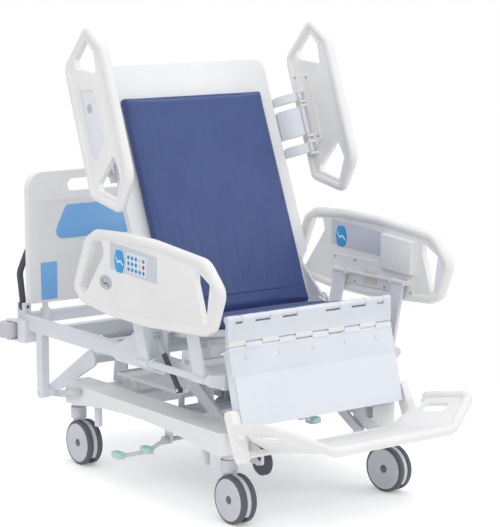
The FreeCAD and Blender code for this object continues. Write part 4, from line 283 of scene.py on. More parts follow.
corners = ("foot_right", "foot_left", "head_right", "head_left")
nodeFinish = {
    "powderCoat": ["base_frame", "base_sockets", "upper_frame", "shoulder_plates", "head_lever", "foot_lever",
                   "backrest_arms", "seat_deck", "thigh_deck", "fifth_wheel_arm", "head_rail_arms_right",
                   "head_rail_arms_left", "foot_rail_arms_right", "foot_rail_arms_left"],
    "shellAbs": ["base_cover_right", "base_cover_left", "base_tray"],
    "railPolyethylene": ["head_rail_right", "head_rail_left", "foot_rail_right", "foot_rail_left",
                         "footboard", "footboard_brackets"],
    "boardPolyethylene": ["headboard", "backrest_panel"],
    "panelAbs": ["leg_upper_panel", "leg_lower_panel"],
    "bandNylon": ["leg_hinge_tabs"],
    "housingNylon": ["lift_actuator", "backrest_actuator", "control_box"],
    "groundChrome": ["lift_rod", "backrest_rod", "gas_spring_rods"],
    "hubNylon": ["bumper_right", "bumper_left", "brake_pedals", "rocker_pedals"]
                + ["caster_hood_" + corner for corner in corners],
    "gripRubber": ["push_handle_right", "push_handle_left", "gas_spring_barrels"],
    "treadPolyurethane": ["fifth_wheel"]
                         + ["wheel_" + side + "_" + corner for side in "ab" for corner in corners],
}

for name, nodes in nodeFinish.items():
    for node in nodes:
        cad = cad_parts[node]
        if not cad.material_slots:
            cad.data.materials.append(finish[name])
        for materialSlot in cad.material_slots:
            materialSlot.material = finish[name]
print("frame nodes finished")

coverFabric = {"deep": "2F4177", "pale": "394D81", "driftScale": 5.0, "driftDetail": 4.0, "roughness": 0.5,
               "glossier": 0.08, "duller": 0.1, "rubScale": 11.0, "rubDetail": 3.0, "sheen": 0.12,
               "sheenRoughness": 0.4, "weaveMm": 0.9, "weaveStrength": 0.2, "weaveDeepMm": 0.2,
               "creaseScale": 14.0, "creaseDetail": 3.0, "creaseTwist": 0.6, "creaseStrength": 0.3,
               "creaseMm": 6.0}


def makeMattressCover(fabric):
    # coated polyurethane on knitted polyester: deep blue, matt, with a soft sheen at grazing angles
    material = bpy.data.materials.new("coatedMattressCover")
    material.use_nodes = True
    tree = material.node_tree
    shader = tree.nodes["Principled BSDF"]
    place = addNode(tree, "ShaderNodeTexCoord").outputs["Object"]
    drift = addNode(tree, "ShaderNodeTexNoise",
                    {"Scale": fabric["driftScale"], "Detail": fabric["driftDetail"]}, {"Vector": place})
    tone = addNode(tree, "ShaderNodeMix", {6: hexColour(fabric["deep"]), 7: hexColour(fabric["pale"])},
                   {0: drift.outputs["Fac"]}, data_type="RGBA")
    tree.links.new(tone.outputs[2], shader.inputs["Base Color"])
    rub = addNode(tree, "ShaderNodeTexNoise", {"Scale": fabric["rubScale"], "Detail": fabric["rubDetail"]},
                  {"Vector": place})
    low, high = fabric["roughness"] - fabric["glossier"], fabric["roughness"] + fabric["duller"]
    gloss = addNode(tree, "ShaderNodeMapRange", {"To Min": low, "To Max": high},
                    {"Value": rub.outputs["Fac"]})
    tree.links.new(gloss.outputs[0], shader.inputs["Roughness"])
    shader.inputs["Sheen Weight"].default_value = fabric["sheen"]
    shader.inputs["Sheen Roughness"].default_value = fabric["sheenRoughness"]
    knit = addNode(tree, "ShaderNodeTexVoronoi", {"Scale": 1000 / fabric["weaveMm"]}, {"Vector": place})
    soft = addNode(tree, "ShaderNodeTexNoise",
                   {"Scale": fabric["creaseScale"], "Detail": fabric["creaseDetail"],
                    "Distortion": fabric["creaseTwist"]}, {"Vector": place})
    fine = addNode(tree, "ShaderNodeBump",
                   {"Strength": fabric["weaveStrength"], "Distance": fabric["weaveDeepMm"] / 1000},
                   {"Height": knit.outputs["Distance"]})
    broad = addNode(tree, "ShaderNodeBump",
                    {"Strength": fabric["creaseStrength"], "Distance": fabric["creaseMm"] / 1000},
                    {"Height": soft.outputs["Fac"], "Normal": fine.outputs[0]})
    tree.links.new(broad.outputs[0], shader.inputs["Normal"])
    return material


mattressCover = makeMattressCover(coverFabric)
print("mattress cover made")

# a coated cover that gives a little under the pressure of its foam
clothSettings = {"quality": 4, "mass": 0.4, "tension_stiffness": 12, "compression_stiffness": 8,
                 "shear_stiffness": 6, "bending_stiffness": 0.8, "shrink_min": -0.012}


def clothBlown(piece, voxel, pressure, cap, frames):
    # the closed pad is remeshed, blown up a little by its inner pressure and held near where it was
    remesh = piece.modifiers.new("remesh", "REMESH")
    remesh.mode = "VOXEL"
    remesh.voxel_size = voxel
    mesh = evaluatedCopy(piece.name + "Even", piece)
    piece.modifiers.clear()
    piece.data = mesh
    before = [vertex.co.copy() for vertex in mesh.vertices]
    cloth = piece.modifiers.new("cloth", "CLOTH")
    for key, value in clothSettings.items():
        setattr(cloth.settings, key, value)
    cloth.settings.use_pressure = True
    cloth.settings.uniform_pressure_force = pressure
    cloth.settings.effector_weights.gravity = 0
    cloth.point_cache.frame_start = 1
    cloth.point_cache.frame_end = frames
    for number in range(1, frames + 1):
        bpy.context.scene.frame_set(number)
    blown = evaluatedCopy(piece.name + "Blown", piece)
    piece.modifiers.clear()
    piece.data = blown
    for vertex, start in zip(blown.vertices, before):
        move = vertex.co - start
        if move.length > cap:
            vertex.co = start + move.normalized() * cap
    bpy.context.scene.frame_set(1)


endDepth = 0.25  # a fold is a quarter as deep at its ends as in its middle


def creaseDepth(x, along, creases):
    # the depth of the deepest fold at this place, each a line between two points with its width and depth
    deepest = 0.0
    for startX, startAlong, endX, endAlong, width, depth in creases:
        line = Vector((endX - startX, endAlong - startAlong))
        share = Vector((x - startX, along - startAlong)).dot(line) / line.length_squared
        share = max(0.0, min(1.0, share))
        near = Vector((startX, startAlong)) + line * share
        gap = (Vector((x, along)) - near).length
        fade = min(1.0, 4 * share * (1 - share) + endDepth)
        deepest = max(deepest, depth * fade * math.exp(-(gap / width) ** 2))
    return deepest


# slow waves of the whole cover and fine gathers across it: height in metres, how close they
# follow one another across and along, and the layer of the noise that they are read from
waves = {"height": 0.0012, "across": 9, "along": 5, "layer": 3.1}
gathers = {"height": 0.0005, "across": 55, "along": 6, "layer": 8.4}
edgeSteps = 4
blowFrames = 20


def ripple(shape, x, along):
    spot = Vector((x * shape["across"], along * shape["along"], shape["layer"]))
    return shape["height"] * noise.noise(spot)


def makeCushion(name, node, body, place, size, creases):
    half, start, end, bottom, top = (size[key] / 1000 for key in ("half", "start", "end", "bottom", "top"))
    edge = size["edge"] / 1000
    bm = bmesh.new()
    bmesh.ops.create_cube(bm, size=1.0)
    for vertex in bm.verts:
        vertex.co.x *= 2 * half
        vertex.co.y = (start + end) / 2 + vertex.co.y * (end - start)
        vertex.co.z = (bottom + top) / 2 + vertex.co.z * (top - bottom)
    bmesh.ops.bevel(bm, geom=bm.edges[:], offset=edge, segments=edgeSteps, profile=0.5, affect="EDGES")
    piece = bpy.data.objects.new(name, closedMesh(name, bm))
    bpy.context.scene.collection.objects.link(piece)
    clothBlown(piece, size["voxel"] / 1000, size["pressure"], size["cap"] / 1000, blowFrames)
    subdivision = piece.modifiers.new("subdivision", "SUBSURF")
    subdivision.levels = subdivision.render_levels = 1
    mesh = evaluatedCopy(name, piece)
    bpy.data.objects.remove(piece)
    crown = size["crown"] / 1000
    for vertex in mesh.vertices:
        x, along, out = vertex.co
        across = min(1.0, abs(x) / half)
        lengthwise = min(1.0, abs(2 * (along - start) / (end - start) - 1))
        lifted = max(0.0, (out - bottom) / (top - bottom))
        rise = crown * (1 - across ** 4) * (1 - lengthwise ** 4)
        waved = ripple(waves, x, along) * (1 - across ** 6)
        waved += ripple(gathers, x, along)
        fold = creaseDepth(x * 1000, along * 1000, creases) / 1000
        if lifted > 0.5:  # only the side that is lain on
            out += rise + waved - fold
        vertex.co = place(x * 1000, along * 1000, max(out, bottom) * 1000)
    piece = finishMesh(name, mesh, body, mattressCover, smooth=60)
    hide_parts(node)
    return piece


backSize = {"half": 327.0, "start": -3.0, "end": 863.0, "bottom": -40.7, "top": -2.5, "edge": 15.0,
            "voxel": 8.0, "pressure": 3.0, "cap": 7.0, "crown": 4.0, "fill": 0.9}
uprightSize = {"seed": 7, "count": 24, "first": -300, "pitch": 26, "low": 70, "clear": 8, "stray": 9,
               "short": (50, 210), "long": (200, 330), "lean": (-8, 12), "width": (4.5, 7.0),
               "depth": (1.6, 3.2)}


def uprightCreases(size):
    # creases that rise from the lower hem, every third one a long one
    chance = random.Random(size["seed"])
    creases = []
    for number in range(size["count"]):
        foot = size["first"] + size["pitch"] * number + chance.uniform(-size["stray"], size["stray"])
        climb = chance.uniform(*size["short"]) if number % 3 else chance.uniform(*size["long"])
        head = foot + chance.uniform(*size["lean"])
        width = chance.uniform(*size["width"])
        depth = chance.uniform(*size["depth"])
        creases.append((foot, size["low"], head, size["low"] + size["clear"] + climb, width, depth))
    return creases


# two long cross folds, two slack diagonals and the upright creases of the lower third
backCreases = [(-318, 842, 318, 842, 5, 3.4), (-325, 62, 325, 62, 4, 4.0), (180, 420, 300, 350, 12, 1.8),
               (-180, 560, -310, 500, 12, 1.6)] + uprightCreases(uprightSize)
backCushion = makeCushion("backCushion", "backrest_pad", "backrest", onBack, backSize, backCreases)
print("back cushion made")

seatSize = {"half": 318.0, "start": -210.5, "end": -69.0, "bottom": 620.3, "top": 658.0, "edge": 13.0,
            "voxel": 6.0, "pressure": 2.5, "cap": 5.0, "crown": 3.0, "fill": 0.9}
seatCreases = [(-140, -205, -120, -90, 8, 1.8), (90, -200, 120, -100, 8, 1.8),
               (240, -190, 220, -90, 7, 1.6)]
makeCushion("seatCushion", "seat_pad", "seat", onSeat, seatSize, seatCreases)
thighSize = {"half": 318.0, "start": -431.0, "end": -228.0, "bottom": 620.3, "top": 655.0, "edge": 13.0,
             "voxel": 6.0, "pressure": 2.5, "cap": 5.0, "crown": 3.0, "fill": 0.9}
thighCreases = [(-200, -420, -170, -250, 9, 2.0), (20, -415, 40, -260, 8, 1.8),
                (190, -400, 230, -240, 9, 2.0), (-312, -300, 312, -300, 12, 1.0)]
makeCushion("thighCushion", "thigh_pad", "thigh", onSeat, thighSize, thighCreases)
print("seat and thigh cushions made")


# the head of a peg: how high its chamfer is to the whole, and how wide its top and its dish are
pegHead = {"chamferShare": 0.3, "topShare": 0.82, "dishShare": 0.6}
pegInputs = {"Geometry": "Geometry", "Radius": "Float", "Height": "Float", "Sides": "Int", "Dish": "Float",
             "Stretch": "Float", "Facing": "Vector", "Turn Spread": "Float", "Seed": "Int",
             "Material": "Material"}


def makeRepeatTree():
    # sets one small headed peg on every point of a mesh, its head chamfered and dished
    tree = bpy.data.node_groups.new("peggedPoints", "GeometryNodeTree")
    sockets = tree.interface
    for name, kind in pegInputs.items():
        sockets.new_socket(name, in_out="INPUT", socket_type="NodeSocket" + kind)
    sockets.new_socket("Geometry", in_out="OUTPUT", socket_type="NodeSocketGeometry")
    given = addNode(tree, "NodeGroupInput").outputs
    peg = addNode(tree, "GeometryNodeMeshCylinder", None,
                  {"Vertices": given["Sides"], "Radius": given["Radius"], "Depth": given["Height"]})
    chamfer = addNode(tree, "ShaderNodeMath", {1: pegHead["chamferShare"]}, {0: given["Height"]},
                      operation="MULTIPLY")
    raisedHead = addNode(tree, "GeometryNodeExtrudeMesh", None,
                         {"Mesh": peg.outputs["Mesh"], "Selection": peg.outputs["Top"],
                          "Offset Scale": chamfer.outputs[0]}, mode="FACES")
    narrowed = addNode(tree, "GeometryNodeScaleElements", {"Scale": pegHead["topShare"]},
                       {"Geometry": raisedHead.outputs["Mesh"], "Selection": raisedHead.outputs["Top"]})
    rimmed = addNode(tree, "GeometryNodeExtrudeMesh", {"Offset Scale": 0.0},
                     {"Mesh": narrowed.outputs[0], "Selection": raisedHead.outputs["Top"]}, mode="FACES")
    dishRim = addNode(tree, "GeometryNodeScaleElements", {"Scale": pegHead["dishShare"]},
                      {"Geometry": rimmed.outputs["Mesh"], "Selection": rimmed.outputs["Top"]})
    sunk = addNode(tree, "ShaderNodeMath", {1: -1.0}, {0: given["Dish"]}, operation="MULTIPLY")
    dished = addNode(tree, "GeometryNodeExtrudeMesh", None,
                     {"Mesh": dishRim.outputs[0], "Selection": rimmed.outputs["Top"],
                      "Offset Scale": sunk.outputs[0]}, mode="FACES")
    stretch = addNode(tree, "ShaderNodeCombineXYZ", {"Y": 1.0, "Z": 1.0}, {"X": given["Stretch"]})
    shaped = addNode(tree, "GeometryNodeTransform", None,
                     {"Geometry": dished.outputs["Mesh"], "Scale": stretch.outputs[0]})
    lowest = addNode(tree, "ShaderNodeMath", {1: -1.0}, {0: given["Turn Spread"]}, operation="MULTIPLY")
    turn = addNode(tree, "FunctionNodeRandomValue", None,
                   {2: lowest.outputs[0], 3: given["Turn Spread"], "Seed": given["Seed"]}, data_type="FLOAT")
    spin = addNode(tree, "ShaderNodeCombineXYZ", None, {"Z": turn.outputs[1]})
    facing = addNode(tree, "FunctionNodeEulerToRotation", None, {0: given["Facing"]})
    spun = addNode(tree, "FunctionNodeEulerToRotation", None, {0: spin.outputs[0]})
    rotation = addNode(tree, "FunctionNodeRotateRotation", None,
                       {"Rotation": facing.outputs[0], "Rotate By": spun.outputs[0]}, rotation_space="LOCAL")
    placed = addNode(tree, "GeometryNodeInstanceOnPoints", None,
                     {"Points": given["Geometry"], "Instance": shaped.outputs[0],
                      "Rotation": rotation.outputs[0]})
    real = addNode(tree, "GeometryNodeRealizeInstances", None, {0: placed.outputs[0]})
    painted = addNode(tree, "GeometryNodeSetMaterial", None,
                      {"Geometry": real.outputs[0], "Material": given["Material"]})
    addNode(tree, "NodeGroupOutput", None, {0: painted.outputs[0]})
    return tree


repeatTree = makeRepeatTree()
repeatIds = {item.name: item.identifier for item in repeatTree.interface.items_tree
             if item.in_out == "INPUT" and item.name != "Geometry"}
print("repeat tree ready")


def pegs(name, points, facing, size, body, material):
    # points are places of the frame, and facing is the turn that lays the peg's axis on its surface
    seedMesh = bpy.data.meshes.new(name + "Points")
    seedMesh.from_pydata(points, [], [])
    holder = bpy.data.objects.new(name + "Holder", seedMesh)
    bpy.context.scene.collection.objects.link(holder)
    modifier = holder.modifiers.new("pegs", "NODES")
    modifier.node_group = repeatTree
    values = {"Radius": size["radius"] / 1000, "Height": size["height"] / 1000, "Sides": size["sides"],
              "Dish": size["dish"] / 1000, "Stretch": size.get("stretch", 1.0), "Facing": facing,
              "Turn Spread": size.get("turn", 0.0), "Seed": size.get("seed", 1), "Material": material}
    for key, value in values.items():
        modifier[repeatIds[key]] = value
    holder.update_tag()
    bpy.context.view_layer.update()
    mesh = evaluatedCopy(name, holder)
    bpy.data.objects.remove(holder)
    return finishMesh(name, mesh, body, material)


# a lockstitched hem along both cross folds of the back cushion
stitch = {"radius": 0.7, "height": 1.0, "sides": 8, "dish": 0.0, "stretch": 4.2, "turn": 0.06, "seed": 11}
hem = {"rows": (54.0, 850.0), "first": -300, "pitch": 7.5, "count": 81, "lift": 0.0002}
lookHeight = 80.0  # clear of the cushion


def onTop(piece, x, along, place, outward):
    # the point of the cushion's cover over one place of its plan, found by looking down on it
    start = place(x, along, lookHeight)
    down = (place(x, along, 0.0) - start).normalized()
    reached, point, normal = piece.ray_cast(start, down)[:3]
    return point + normal * outward if reached else None


hemPoints = [onTop(backCushion, hem["first"] + number * hem["pitch"], along, onBack, hem["lift"])
             for along in hem["rows"] for number in range(hem["count"])]
pegs("hemStitches", [point for point in hemPoints if point], (backAngle, 0, 0), stitch, "backrest",
     finish["hemThread"])
print("hem stitched")

headboardSize = {"front": 926.0, "floor": 2.0, "sheet": (0.0, 2.4, 0.6), "inlayRadius": 16,
                 "stripX": (213, 289), "stripZ": (584, 738), "stripRadius": 4}


def onHeadboard(x, z, depth):
    return at(x, headboardSize["front"] + headboardSize["floor"] - depth, z)


inlayHalf = [(164, 968), (208, 884), (216, 852), (196, 830)]
inlayOutline = inlayHalf + [(-x, z) for x, z in reversed(inlayHalf)]
slab("headboardInlay", inlayOutline, headboardSize["inlayRadius"], *headboardSize["sheet"], onHeadboard,
     "upper_frame", "rail_plastic", finish["inlayBlue"])
for side, label in hands:
    near, far = headboardSize["stripX"]
    low, high = headboardSize["stripZ"]
    strip = [(side * near, low), (side * far, low), (side * far, high), (side * near, high)]
    slab("headboardStrip" + label, strip, headboardSize["stripRadius"], *headboardSize["sheet"], onHeadboard,
         "upper_frame", "rail_plastic", finish["inlayBlue"])
print("headboard dressed")

wheelSize = {"stemX": 352.0, "middleY": 40.0, "stemOffset": 505.0, "trail": 38.0, "axle": 87.5, "face": 33.0,
             "footLeftTurn": 9.0, "hubSteps": 56, "capSteps": 28}
hubProfile = [(14.5, -4.0), (15.5, -2.1), (57.0, -2.1), (63.5, 0.7), (72.0, 1.1), (75.5, 0.9), (76.5, -1.0),
              (60.0, -4.0)]
capProfile = [(0.0, 2.4), (7.0, 2.1), (11.5, 1.1), (13.8, -1.2), (13.8, -4.0), (0.0, -4.0)]


def wheelPlace(corner, side):
    # the axle's own frame: out of the wheel's face, and turned with its fork
    endY = -1 if "foot" in corner else 1
    sideX = -1 if "right" in corner else 1
    turn = math.radians(wheelSize["footLeftTurn"] if corner == "foot_left" else 0.0)

    def place(up, along, out):
        x = side * (wheelSize["face"] + out)
        y = -wheelSize["trail"] + along
        stemX = sideX * wheelSize["stemX"]
        stemY = wheelSize["middleY"] + endY * wheelSize["stemOffset"]
        return at(stemX + x * math.cos(turn) - y * math.sin(turn),
                  stemY + x * math.sin(turn) + y * math.cos(turn), wheelSize["axle"] + up)
    return place


for corner in corners:
    for side, label in ((-1, "a"), (1, "b")):
        wheelBody = "wheel_" + label + "_" + corner
        title = "".join(part.title() for part in corner.split("_")) + label.upper()
        place = wheelPlace(corner, side)
        lathe("hubDisc" + title, hubProfile, wheelSize["hubSteps"], place, wheelBody,
              finish["hubNylon"])
        lathe("hubCap" + title, capProfile, wheelSize["capSteps"], place, wheelBody,
              finish["capRubber"])
print("wheels dressed")

# the outer and the inner pad of each pedal bar, with the place of each pad's middle
pedalSize = {"length": 55.2, "width": 35.2, "height": 20.0, "padX": (467.0, 390.0), "padY": (83.0, 5.0),
             "padZ": (140.0, 164.0), "corner": 13, "depth": 13, "proud": 2.2, "bevel": 2.0}
padRibs = {"radius": 1.5, "height": 2.4, "sides": 12, "dish": 0.0, "stretch": 13.0, "pitch": 5.5, "lift": 1.6,
           "across": (-2, -1, 0, 1, 2)}
for side, label in hands:
    for index, (x, y, z) in enumerate(zip(pedalSize["padX"], pedalSize["padY"], pedalSize["padZ"])):
        tag = label + str(index + 1)
        top = z + pedalSize["height"] / 2
        halfWidth, halfLength = pedalSize["width"] / 2, pedalSize["length"] / 2
        outline = [(side * x - halfWidth, y - halfLength), (side * x + halfWidth, y - halfLength),
                   (side * x + halfWidth, y + halfLength), (side * x - halfWidth, y + halfLength)]
        slab("brakePad" + tag, outline, pedalSize["corner"], top - pedalSize["depth"],
             top + pedalSize["proud"], pedalSize["bevel"], at, "brake_pedals", "frame_coat",
             finish["turquoisePad"])
        ribs = [at(side * x + number * padRibs["pitch"], y, top + padRibs["lift"])
                for number in padRibs["across"]]
        pegs("brakePadRibs" + tag, ribs, (0, 0, math.pi / 2), padRibs, "brake_pedals",
             finish["turquoisePad"])
print("pedals dressed")

railSize = {"outer": 526.0, "inner": 504.0}
screwHead = {"radius": 5.0, "height": 2.4, "sides": 20, "dish": 1.0, "turn": 3.0, "seed": 5}
screwDepth = 5.6  # on the hinge plate, this far off the rail's inner face
outwards = {-1: (0, -math.pi / 2, 0), 1: (0, math.pi / 2, 0)}  # lays a peg's axis across the bed


def onRailFace(sideX, outside):
    # flat places of a rail: y runs along the bed, z is the height and depth stands off the face
    def place(y, z, depth):
        face = railSize["outer"] + depth if outside else railSize["inner"] - depth
        return at(sideX * face, y, z)
    return place


def hexagon(centreY, centreZ, halfWidth, halfHeight):
    flat = halfWidth * 0.6  # half the length of its level edges
    return [(centreY - halfWidth, centreZ), (centreY - flat, centreZ - halfHeight),
            (centreY + flat, centreZ - halfHeight), (centreY + halfWidth, centreZ),
            (centreY + flat, centreZ + halfHeight), (centreY - flat, centreZ + halfHeight)]


def oval(centreY, centreZ, halfWidth, halfHeight):
    angles = [step * math.pi / 8 for step in range(16)]
    return [(centreY + halfWidth * math.cos(angle), centreZ + halfHeight * math.sin(angle))
            for angle in angles]


def bedSign(centreY, centreZ, reach, thick):
    # a plain sign of a bed in its chair position: three joined strokes
    line = [(-1.0, 0.62), (-0.45, -0.2), (0.3, 0.12), (1.0, -0.5)]
    upper = [(centreY - along * reach, centreZ + up * reach + thick) for along, up in line]
    lower = [(centreY - along * reach, centreZ + up * reach - thick) for along, up in reversed(line)]
    return upper + lower


# each plate: its outline, its corners' radius, its depth from and to, its edge's radius and its finish
controlPlates = {
    "controlMembrane": ([(28, 957), (28, 858), (-274, 843), (-274, 937)], 3, -0.6, 1.1, 0.4, "membraneGrey"),
    "controlBadge": (hexagon(-33, 893, 36, 41), 9, 0.6, 1.8, 0.4, "badgeBlue"),
    "controlSign": (bedSign(-33, 893, 24, 3.4), 1.5, 1.4, 2.2, 0.2, "printWhite"),
}
outerPlates = {
    "keyPlate": ([(-80, 934), (-80, 862), (-208, 855), (-208, 926)], 9, 0.6, 1.8, 0.4, "membranePale"),
    "ovalLabel": (oval(61, 803, 42, 27), 6, -0.6, 1.0, 0.4, "labelGrey"),
    "ovalSign": (bedSign(61, 800, 24, 2.6), 1.5, 0.8, 1.6, 0.2, "seamShadow"),
}
innerPlates = {
    "keypadHousing": ([(-290, 938), (-290, 803), (-470, 795), (-470, 926)], 10, -1.0, 22.0, 6.0,
                      "railPolyethylene"),
    "beigeLabel": ([(-178, 786), (-178, 728), (-258, 728), (-258, 786)], 3, 4.4, 6.0, 0.4, "labelBeige"),
}
keyShape = {"radius": 7.4, "height": 2.0, "sides": 20, "dish": 0.5}
# the first key's place, the pitch of columns and rows, how the rows sink and how far the keys stand off
keySize = {"rows": 3, "columns": 5, "firstY": -95.0, "firstZ": 916.0, "pitchY": -24.2, "pitchZ": -21.5,
           "slope": -0.045, "depth": 1.9}
paleKeys = {(0, 3), (1, 3)}
redKeys = {(1, 4)}
everyKey = {(row, column) for row in range(keySize["rows"]) for column in range(keySize["columns"])}
keyColours = (("Blue", everyKey - paleKeys - redKeys, "keyBlue"), ("Pale", paleKeys, "membraneGrey"),
              ("Red", redKeys, "keyRed"))
footScrewPlaces = [(y, z) for y in (-2, -125, -300, -452) for z in (728, 812)]


def keyPoint(place, row, column):
    y = keySize["firstY"] + column * keySize["pitchY"]
    z = keySize["firstZ"] + row * keySize["pitchZ"] + keySize["slope"] * -column * keySize["pitchY"]
    return place(y, z, keySize["depth"])


def platesOn(place, plates, tag, body):
    for name, (outline, radius, low, high, bevel, material) in plates.items():
        slab(name + tag, outline, radius, low, high, bevel, place, body, "rail_plastic", finish[material])


for sideX, label in hands:
    railBody = "foot_rail_" + label.lower()
    outside = onRailFace(sideX, True)
    inside = onRailFace(sideX, False)
    platesOn(outside, controlPlates, label + "Outer", railBody)
    platesOn(inside, controlPlates, label + "Inner", railBody)
    platesOn(outside, outerPlates, label, railBody)
    platesOn(inside, innerPlates, label, railBody)
    for title, chosen, material in keyColours:
        points = [keyPoint(outside, row, column) for row, column in sorted(chosen)]
        pegs("keys" + title + label, points, outwards[sideX], keyShape, railBody,
             finish[material])
    screwPoints = [inside(y, z, screwDepth) for y, z in footScrewPlaces]
    pegs("railPlateScrews" + label, screwPoints, outwards[-sideX], screwHead, railBody,
         finish["zincScrew"])
print("foot rails dressed")

knobSize = {"x": 408.0, "y": -595.0, "z": 266.0, "steps": 40}
knobProfile = [(0.0, 7.0), (12.0, 6.6), (18.0, 5.0), (21.5, 2.0), (22.0, -1.0), (0.0, -1.0)]
for sideX, label in hands:
    def onBracket(up, along, out, sideX=sideX):
        return at(sideX * (knobSize["x"] + out), knobSize["y"] + along, knobSize["z"] + up)

    lathe("footboardKnob" + label, knobProfile, knobSize["steps"], onBracket, "leg_lower",
          finish["railPolyethylene"])
print("knobs made")

recessFace = 523.0  # the floor of the recess in the head rail's outer face
recessPlates = {
    "headRecess": ([(219, 1489), (136, 1496), (68, 1322), (122, 1245), (148, 1265)], 10, -1.0, 1.0, 0.5,
                   "membranePale"),
    "headIcon": (oval(160, 1430, 17, 17), 4, 0.6, 1.6, 0.3, "labelGrey"),
}
headScrewPlaces = ((262, 1494), (192, 1500), (112, 1274), (160, 1196), (176, 1214))
for sideX, label in hands:
    railBody = "head_rail_" + label.lower()

    def outside(y, z, depth, sideX=sideX):
        return at(sideX * (recessFace + depth), y, z)

    platesOn(outside, recessPlates, label, railBody)
    inside = onRailFace(sideX, False)
    screwPoints = [inside(y, z, screwDepth) for y, z in headScrewPlaces]
    pegs("headPlateScrews" + label, screwPoints, outwards[-sideX], screwHead, railBody,
         finish["zincScrew"])
print("head rails dressed")

armCover = {"pivotX": 406.0, "pivotOut": -78.0, "endX": 482.0, "endOut": 20.0, "bulge": 12.0, "wall": 3.0,
            "startShare": 0.16, "endShare": 0.93, "lift": 6.0, "steps": 14}
armBands = ((798.0, 832.0), (658.0, 772.0), (586.0, 624.0))


def armSheet(name, sideX, low, high, body):
    # a curved steel sheet over one arm of the head rail, bulging towards the patient's side
    start = Vector((armCover["pivotX"], armCover["pivotOut"]))
    run = Vector((armCover["endX"], armCover["endOut"])) - start
    across = Vector((-run.y, run.x)).normalized()
    bm = bmesh.new()
    rows = []
    reach = armCover["endShare"] - armCover["startShare"]
    for step in range(armCover["steps"] + 1):
        share = armCover["startShare"] + reach * step / armCover["steps"]
        arch = math.sin(math.pi * share) * armCover["bulge"]
        ring = []
        for along, off in ((low, 0), (high, 0), (high, armCover["wall"]), (low, armCover["wall"])):
            point = start + run * share + across * (armCover["lift"] + arch + off)
            ring.append(bm.verts.new(onBack(sideX * point.x, along, point.y)))
        rows.append(ring)
    for near, far in zip(rows, rows[1:]):
        for index in range(len(near)):
            following = (index + 1) % len(near)
            bm.faces.new((near[index], near[following], far[following], far[index]))
    bm.faces.new(rows[0])
    bm.faces.new(rows[-1])
    finishMesh(name, closedMesh(name, bm), body, finish["powderCoat"])


for sideX, label in hands:
    for number, (low, high) in enumerate(armBands):
        armSheet("railArmSheet" + label + str(number + 1), sideX, low, high,
                 "head_rail_arms_" + label.lower())
print("rail arms dressed")


# a floor in metres that fades into the white background, just under the wheels
stageSize = {"half": 30, "drop": 0.001, "fadeFrom": 0.9, "fadeTo": 2.1, "colour": "FAFAFA", "roughness": 0.9,
             "glow": "FFFFFF", "glowStrength": 0.2}


def makeStage():
    bm = bmesh.new()
    bmesh.ops.create_grid(bm, x_segments=2, y_segments=2, size=stageSize["half"])
    mesh = bpy.data.meshes.new("floor")
    bm.to_mesh(mesh)
    bm.free()
    floor = bpy.data.objects.new("floor", mesh)
    bpy.context.scene.collection.objects.link(floor)
    floor.location.z = -stageSize["drop"]
    material = bpy.data.materials.new("paleFloor")
    material.use_nodes = True
    tree = material.node_tree
    shader = tree.nodes["Principled BSDF"]
    shader.inputs["Base Color"].default_value = hexColour(stageSize["colour"])
    shader.inputs["Roughness"].default_value = stageSize["roughness"]
    shader.inputs["Emission Color"].default_value = hexColour(stageSize["glow"])
    shader.inputs["Emission Strength"].default_value = stageSize["glowStrength"]
    place = addNode(tree, "ShaderNodeTexCoord").outputs["Object"]
    reach = addNode(tree, "ShaderNodeVectorMath", None, {0: place}, operation="LENGTH")
    fade = addNode(tree, "ShaderNodeMapRange",
                   {"From Min": stageSize["fadeFrom"], "From Max": stageSize["fadeTo"]},
                   {"Value": reach.outputs["Value"]}, interpolation_type="SMOOTHSTEP")
    clear = addNode(tree, "ShaderNodeBsdfTransparent")
    both = addNode(tree, "ShaderNodeMixShader", None,
                   {0: fade.outputs[0], 1: shader.outputs[0], 2: clear.outputs[0]})
    tree.links.new(both.outputs[0], tree.nodes["Material Output"].inputs["Surface"])
    mesh.materials.append(material)


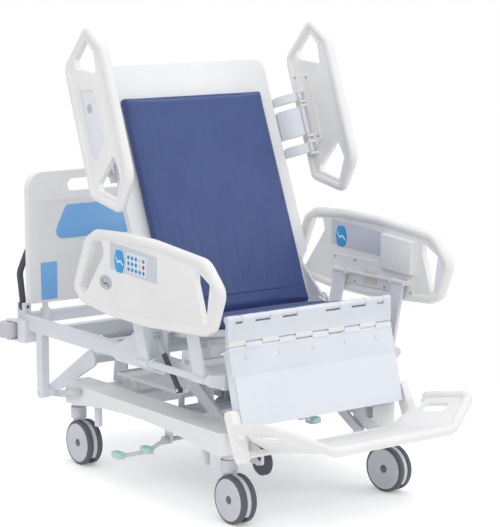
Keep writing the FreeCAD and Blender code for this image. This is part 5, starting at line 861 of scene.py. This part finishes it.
lamps = {
    "keyLight": {"place": (-3.4, -3.8, 4.2), "size": 3.0, "power": 70},
    "fillLight": {"place": (3.6, -3.6, 2.4), "size": 3.0, "power": 48},
    "topLight": {"place": (0.2, 0.4, 4.8), "size": 3.5, "power": 60},
}
lampAim = (0, 0, 0.7)
# the soft room light, and the plain white that the camera sees behind the bed
studio = {"room": (0.98, 0.99, 1.0, 1.0), "roomStrength": 0.86, "behind": (1.0, 1.0, 1.0, 1.0),
          "behindStrength": 1.0}


def makeLights():
    world = bpy.data.worlds.new("studio")
    bpy.context.scene.world = world
    world.use_nodes = True
    tree = world.node_tree
    tree.nodes.clear()
    rays = addNode(tree, "ShaderNodeLightPath")
    soft = addNode(tree, "ShaderNodeBackground",
                   {"Color": studio["room"], "Strength": studio["roomStrength"]})
    white = addNode(tree, "ShaderNodeBackground",
                    {"Color": studio["behind"], "Strength": studio["behindStrength"]})
    both = addNode(tree, "ShaderNodeMixShader", None,
                   {0: rays.outputs["Is Camera Ray"], 1: soft.outputs[0], 2: white.outputs[0]})
    addNode(tree, "ShaderNodeOutputWorld", None, {0: both.outputs[0]})
    for name, values in lamps.items():
        light = bpy.data.lights.new(name, "AREA")
        light.size = values["size"]
        light.energy = values["power"]
        lamp = bpy.data.objects.new(name, light)
        lamp.location = values["place"]
        aim = Vector(lampAim) - Vector(values["place"])
        lamp.rotation_euler = aim.to_track_quat("-Z", "Y").to_euler()
        bpy.context.scene.collection.objects.link(lamp)


# as solved from the photograph: millimetres for the lens, metres for the place, degrees for the turns
photoCamera = {"sensor": 36.0, "lens": 136.62, "far": 200, "place": (-4.380, -6.0601, 2.050), "down": 9.3,
               "round": 36.5}


def makeCamera():
    data = bpy.data.cameras.new("photoCamera")
    data.sensor_width = photoCamera["sensor"]
    data.lens = photoCamera["lens"]
    data.clip_end = photoCamera["far"]
    camera = bpy.data.objects.new("photoCamera", data)
    camera.location = photoCamera["place"]
    camera.rotation_euler = (math.radians(90 - photoCamera["down"]), 0, math.radians(-photoCamera["round"]))
    bpy.context.scene.collection.objects.link(camera)
    bpy.context.scene.camera = camera


makeStage()
makeLights()
makeCamera()
bpy.context.scene.view_settings.view_transform = "Standard"
print("stage ready")
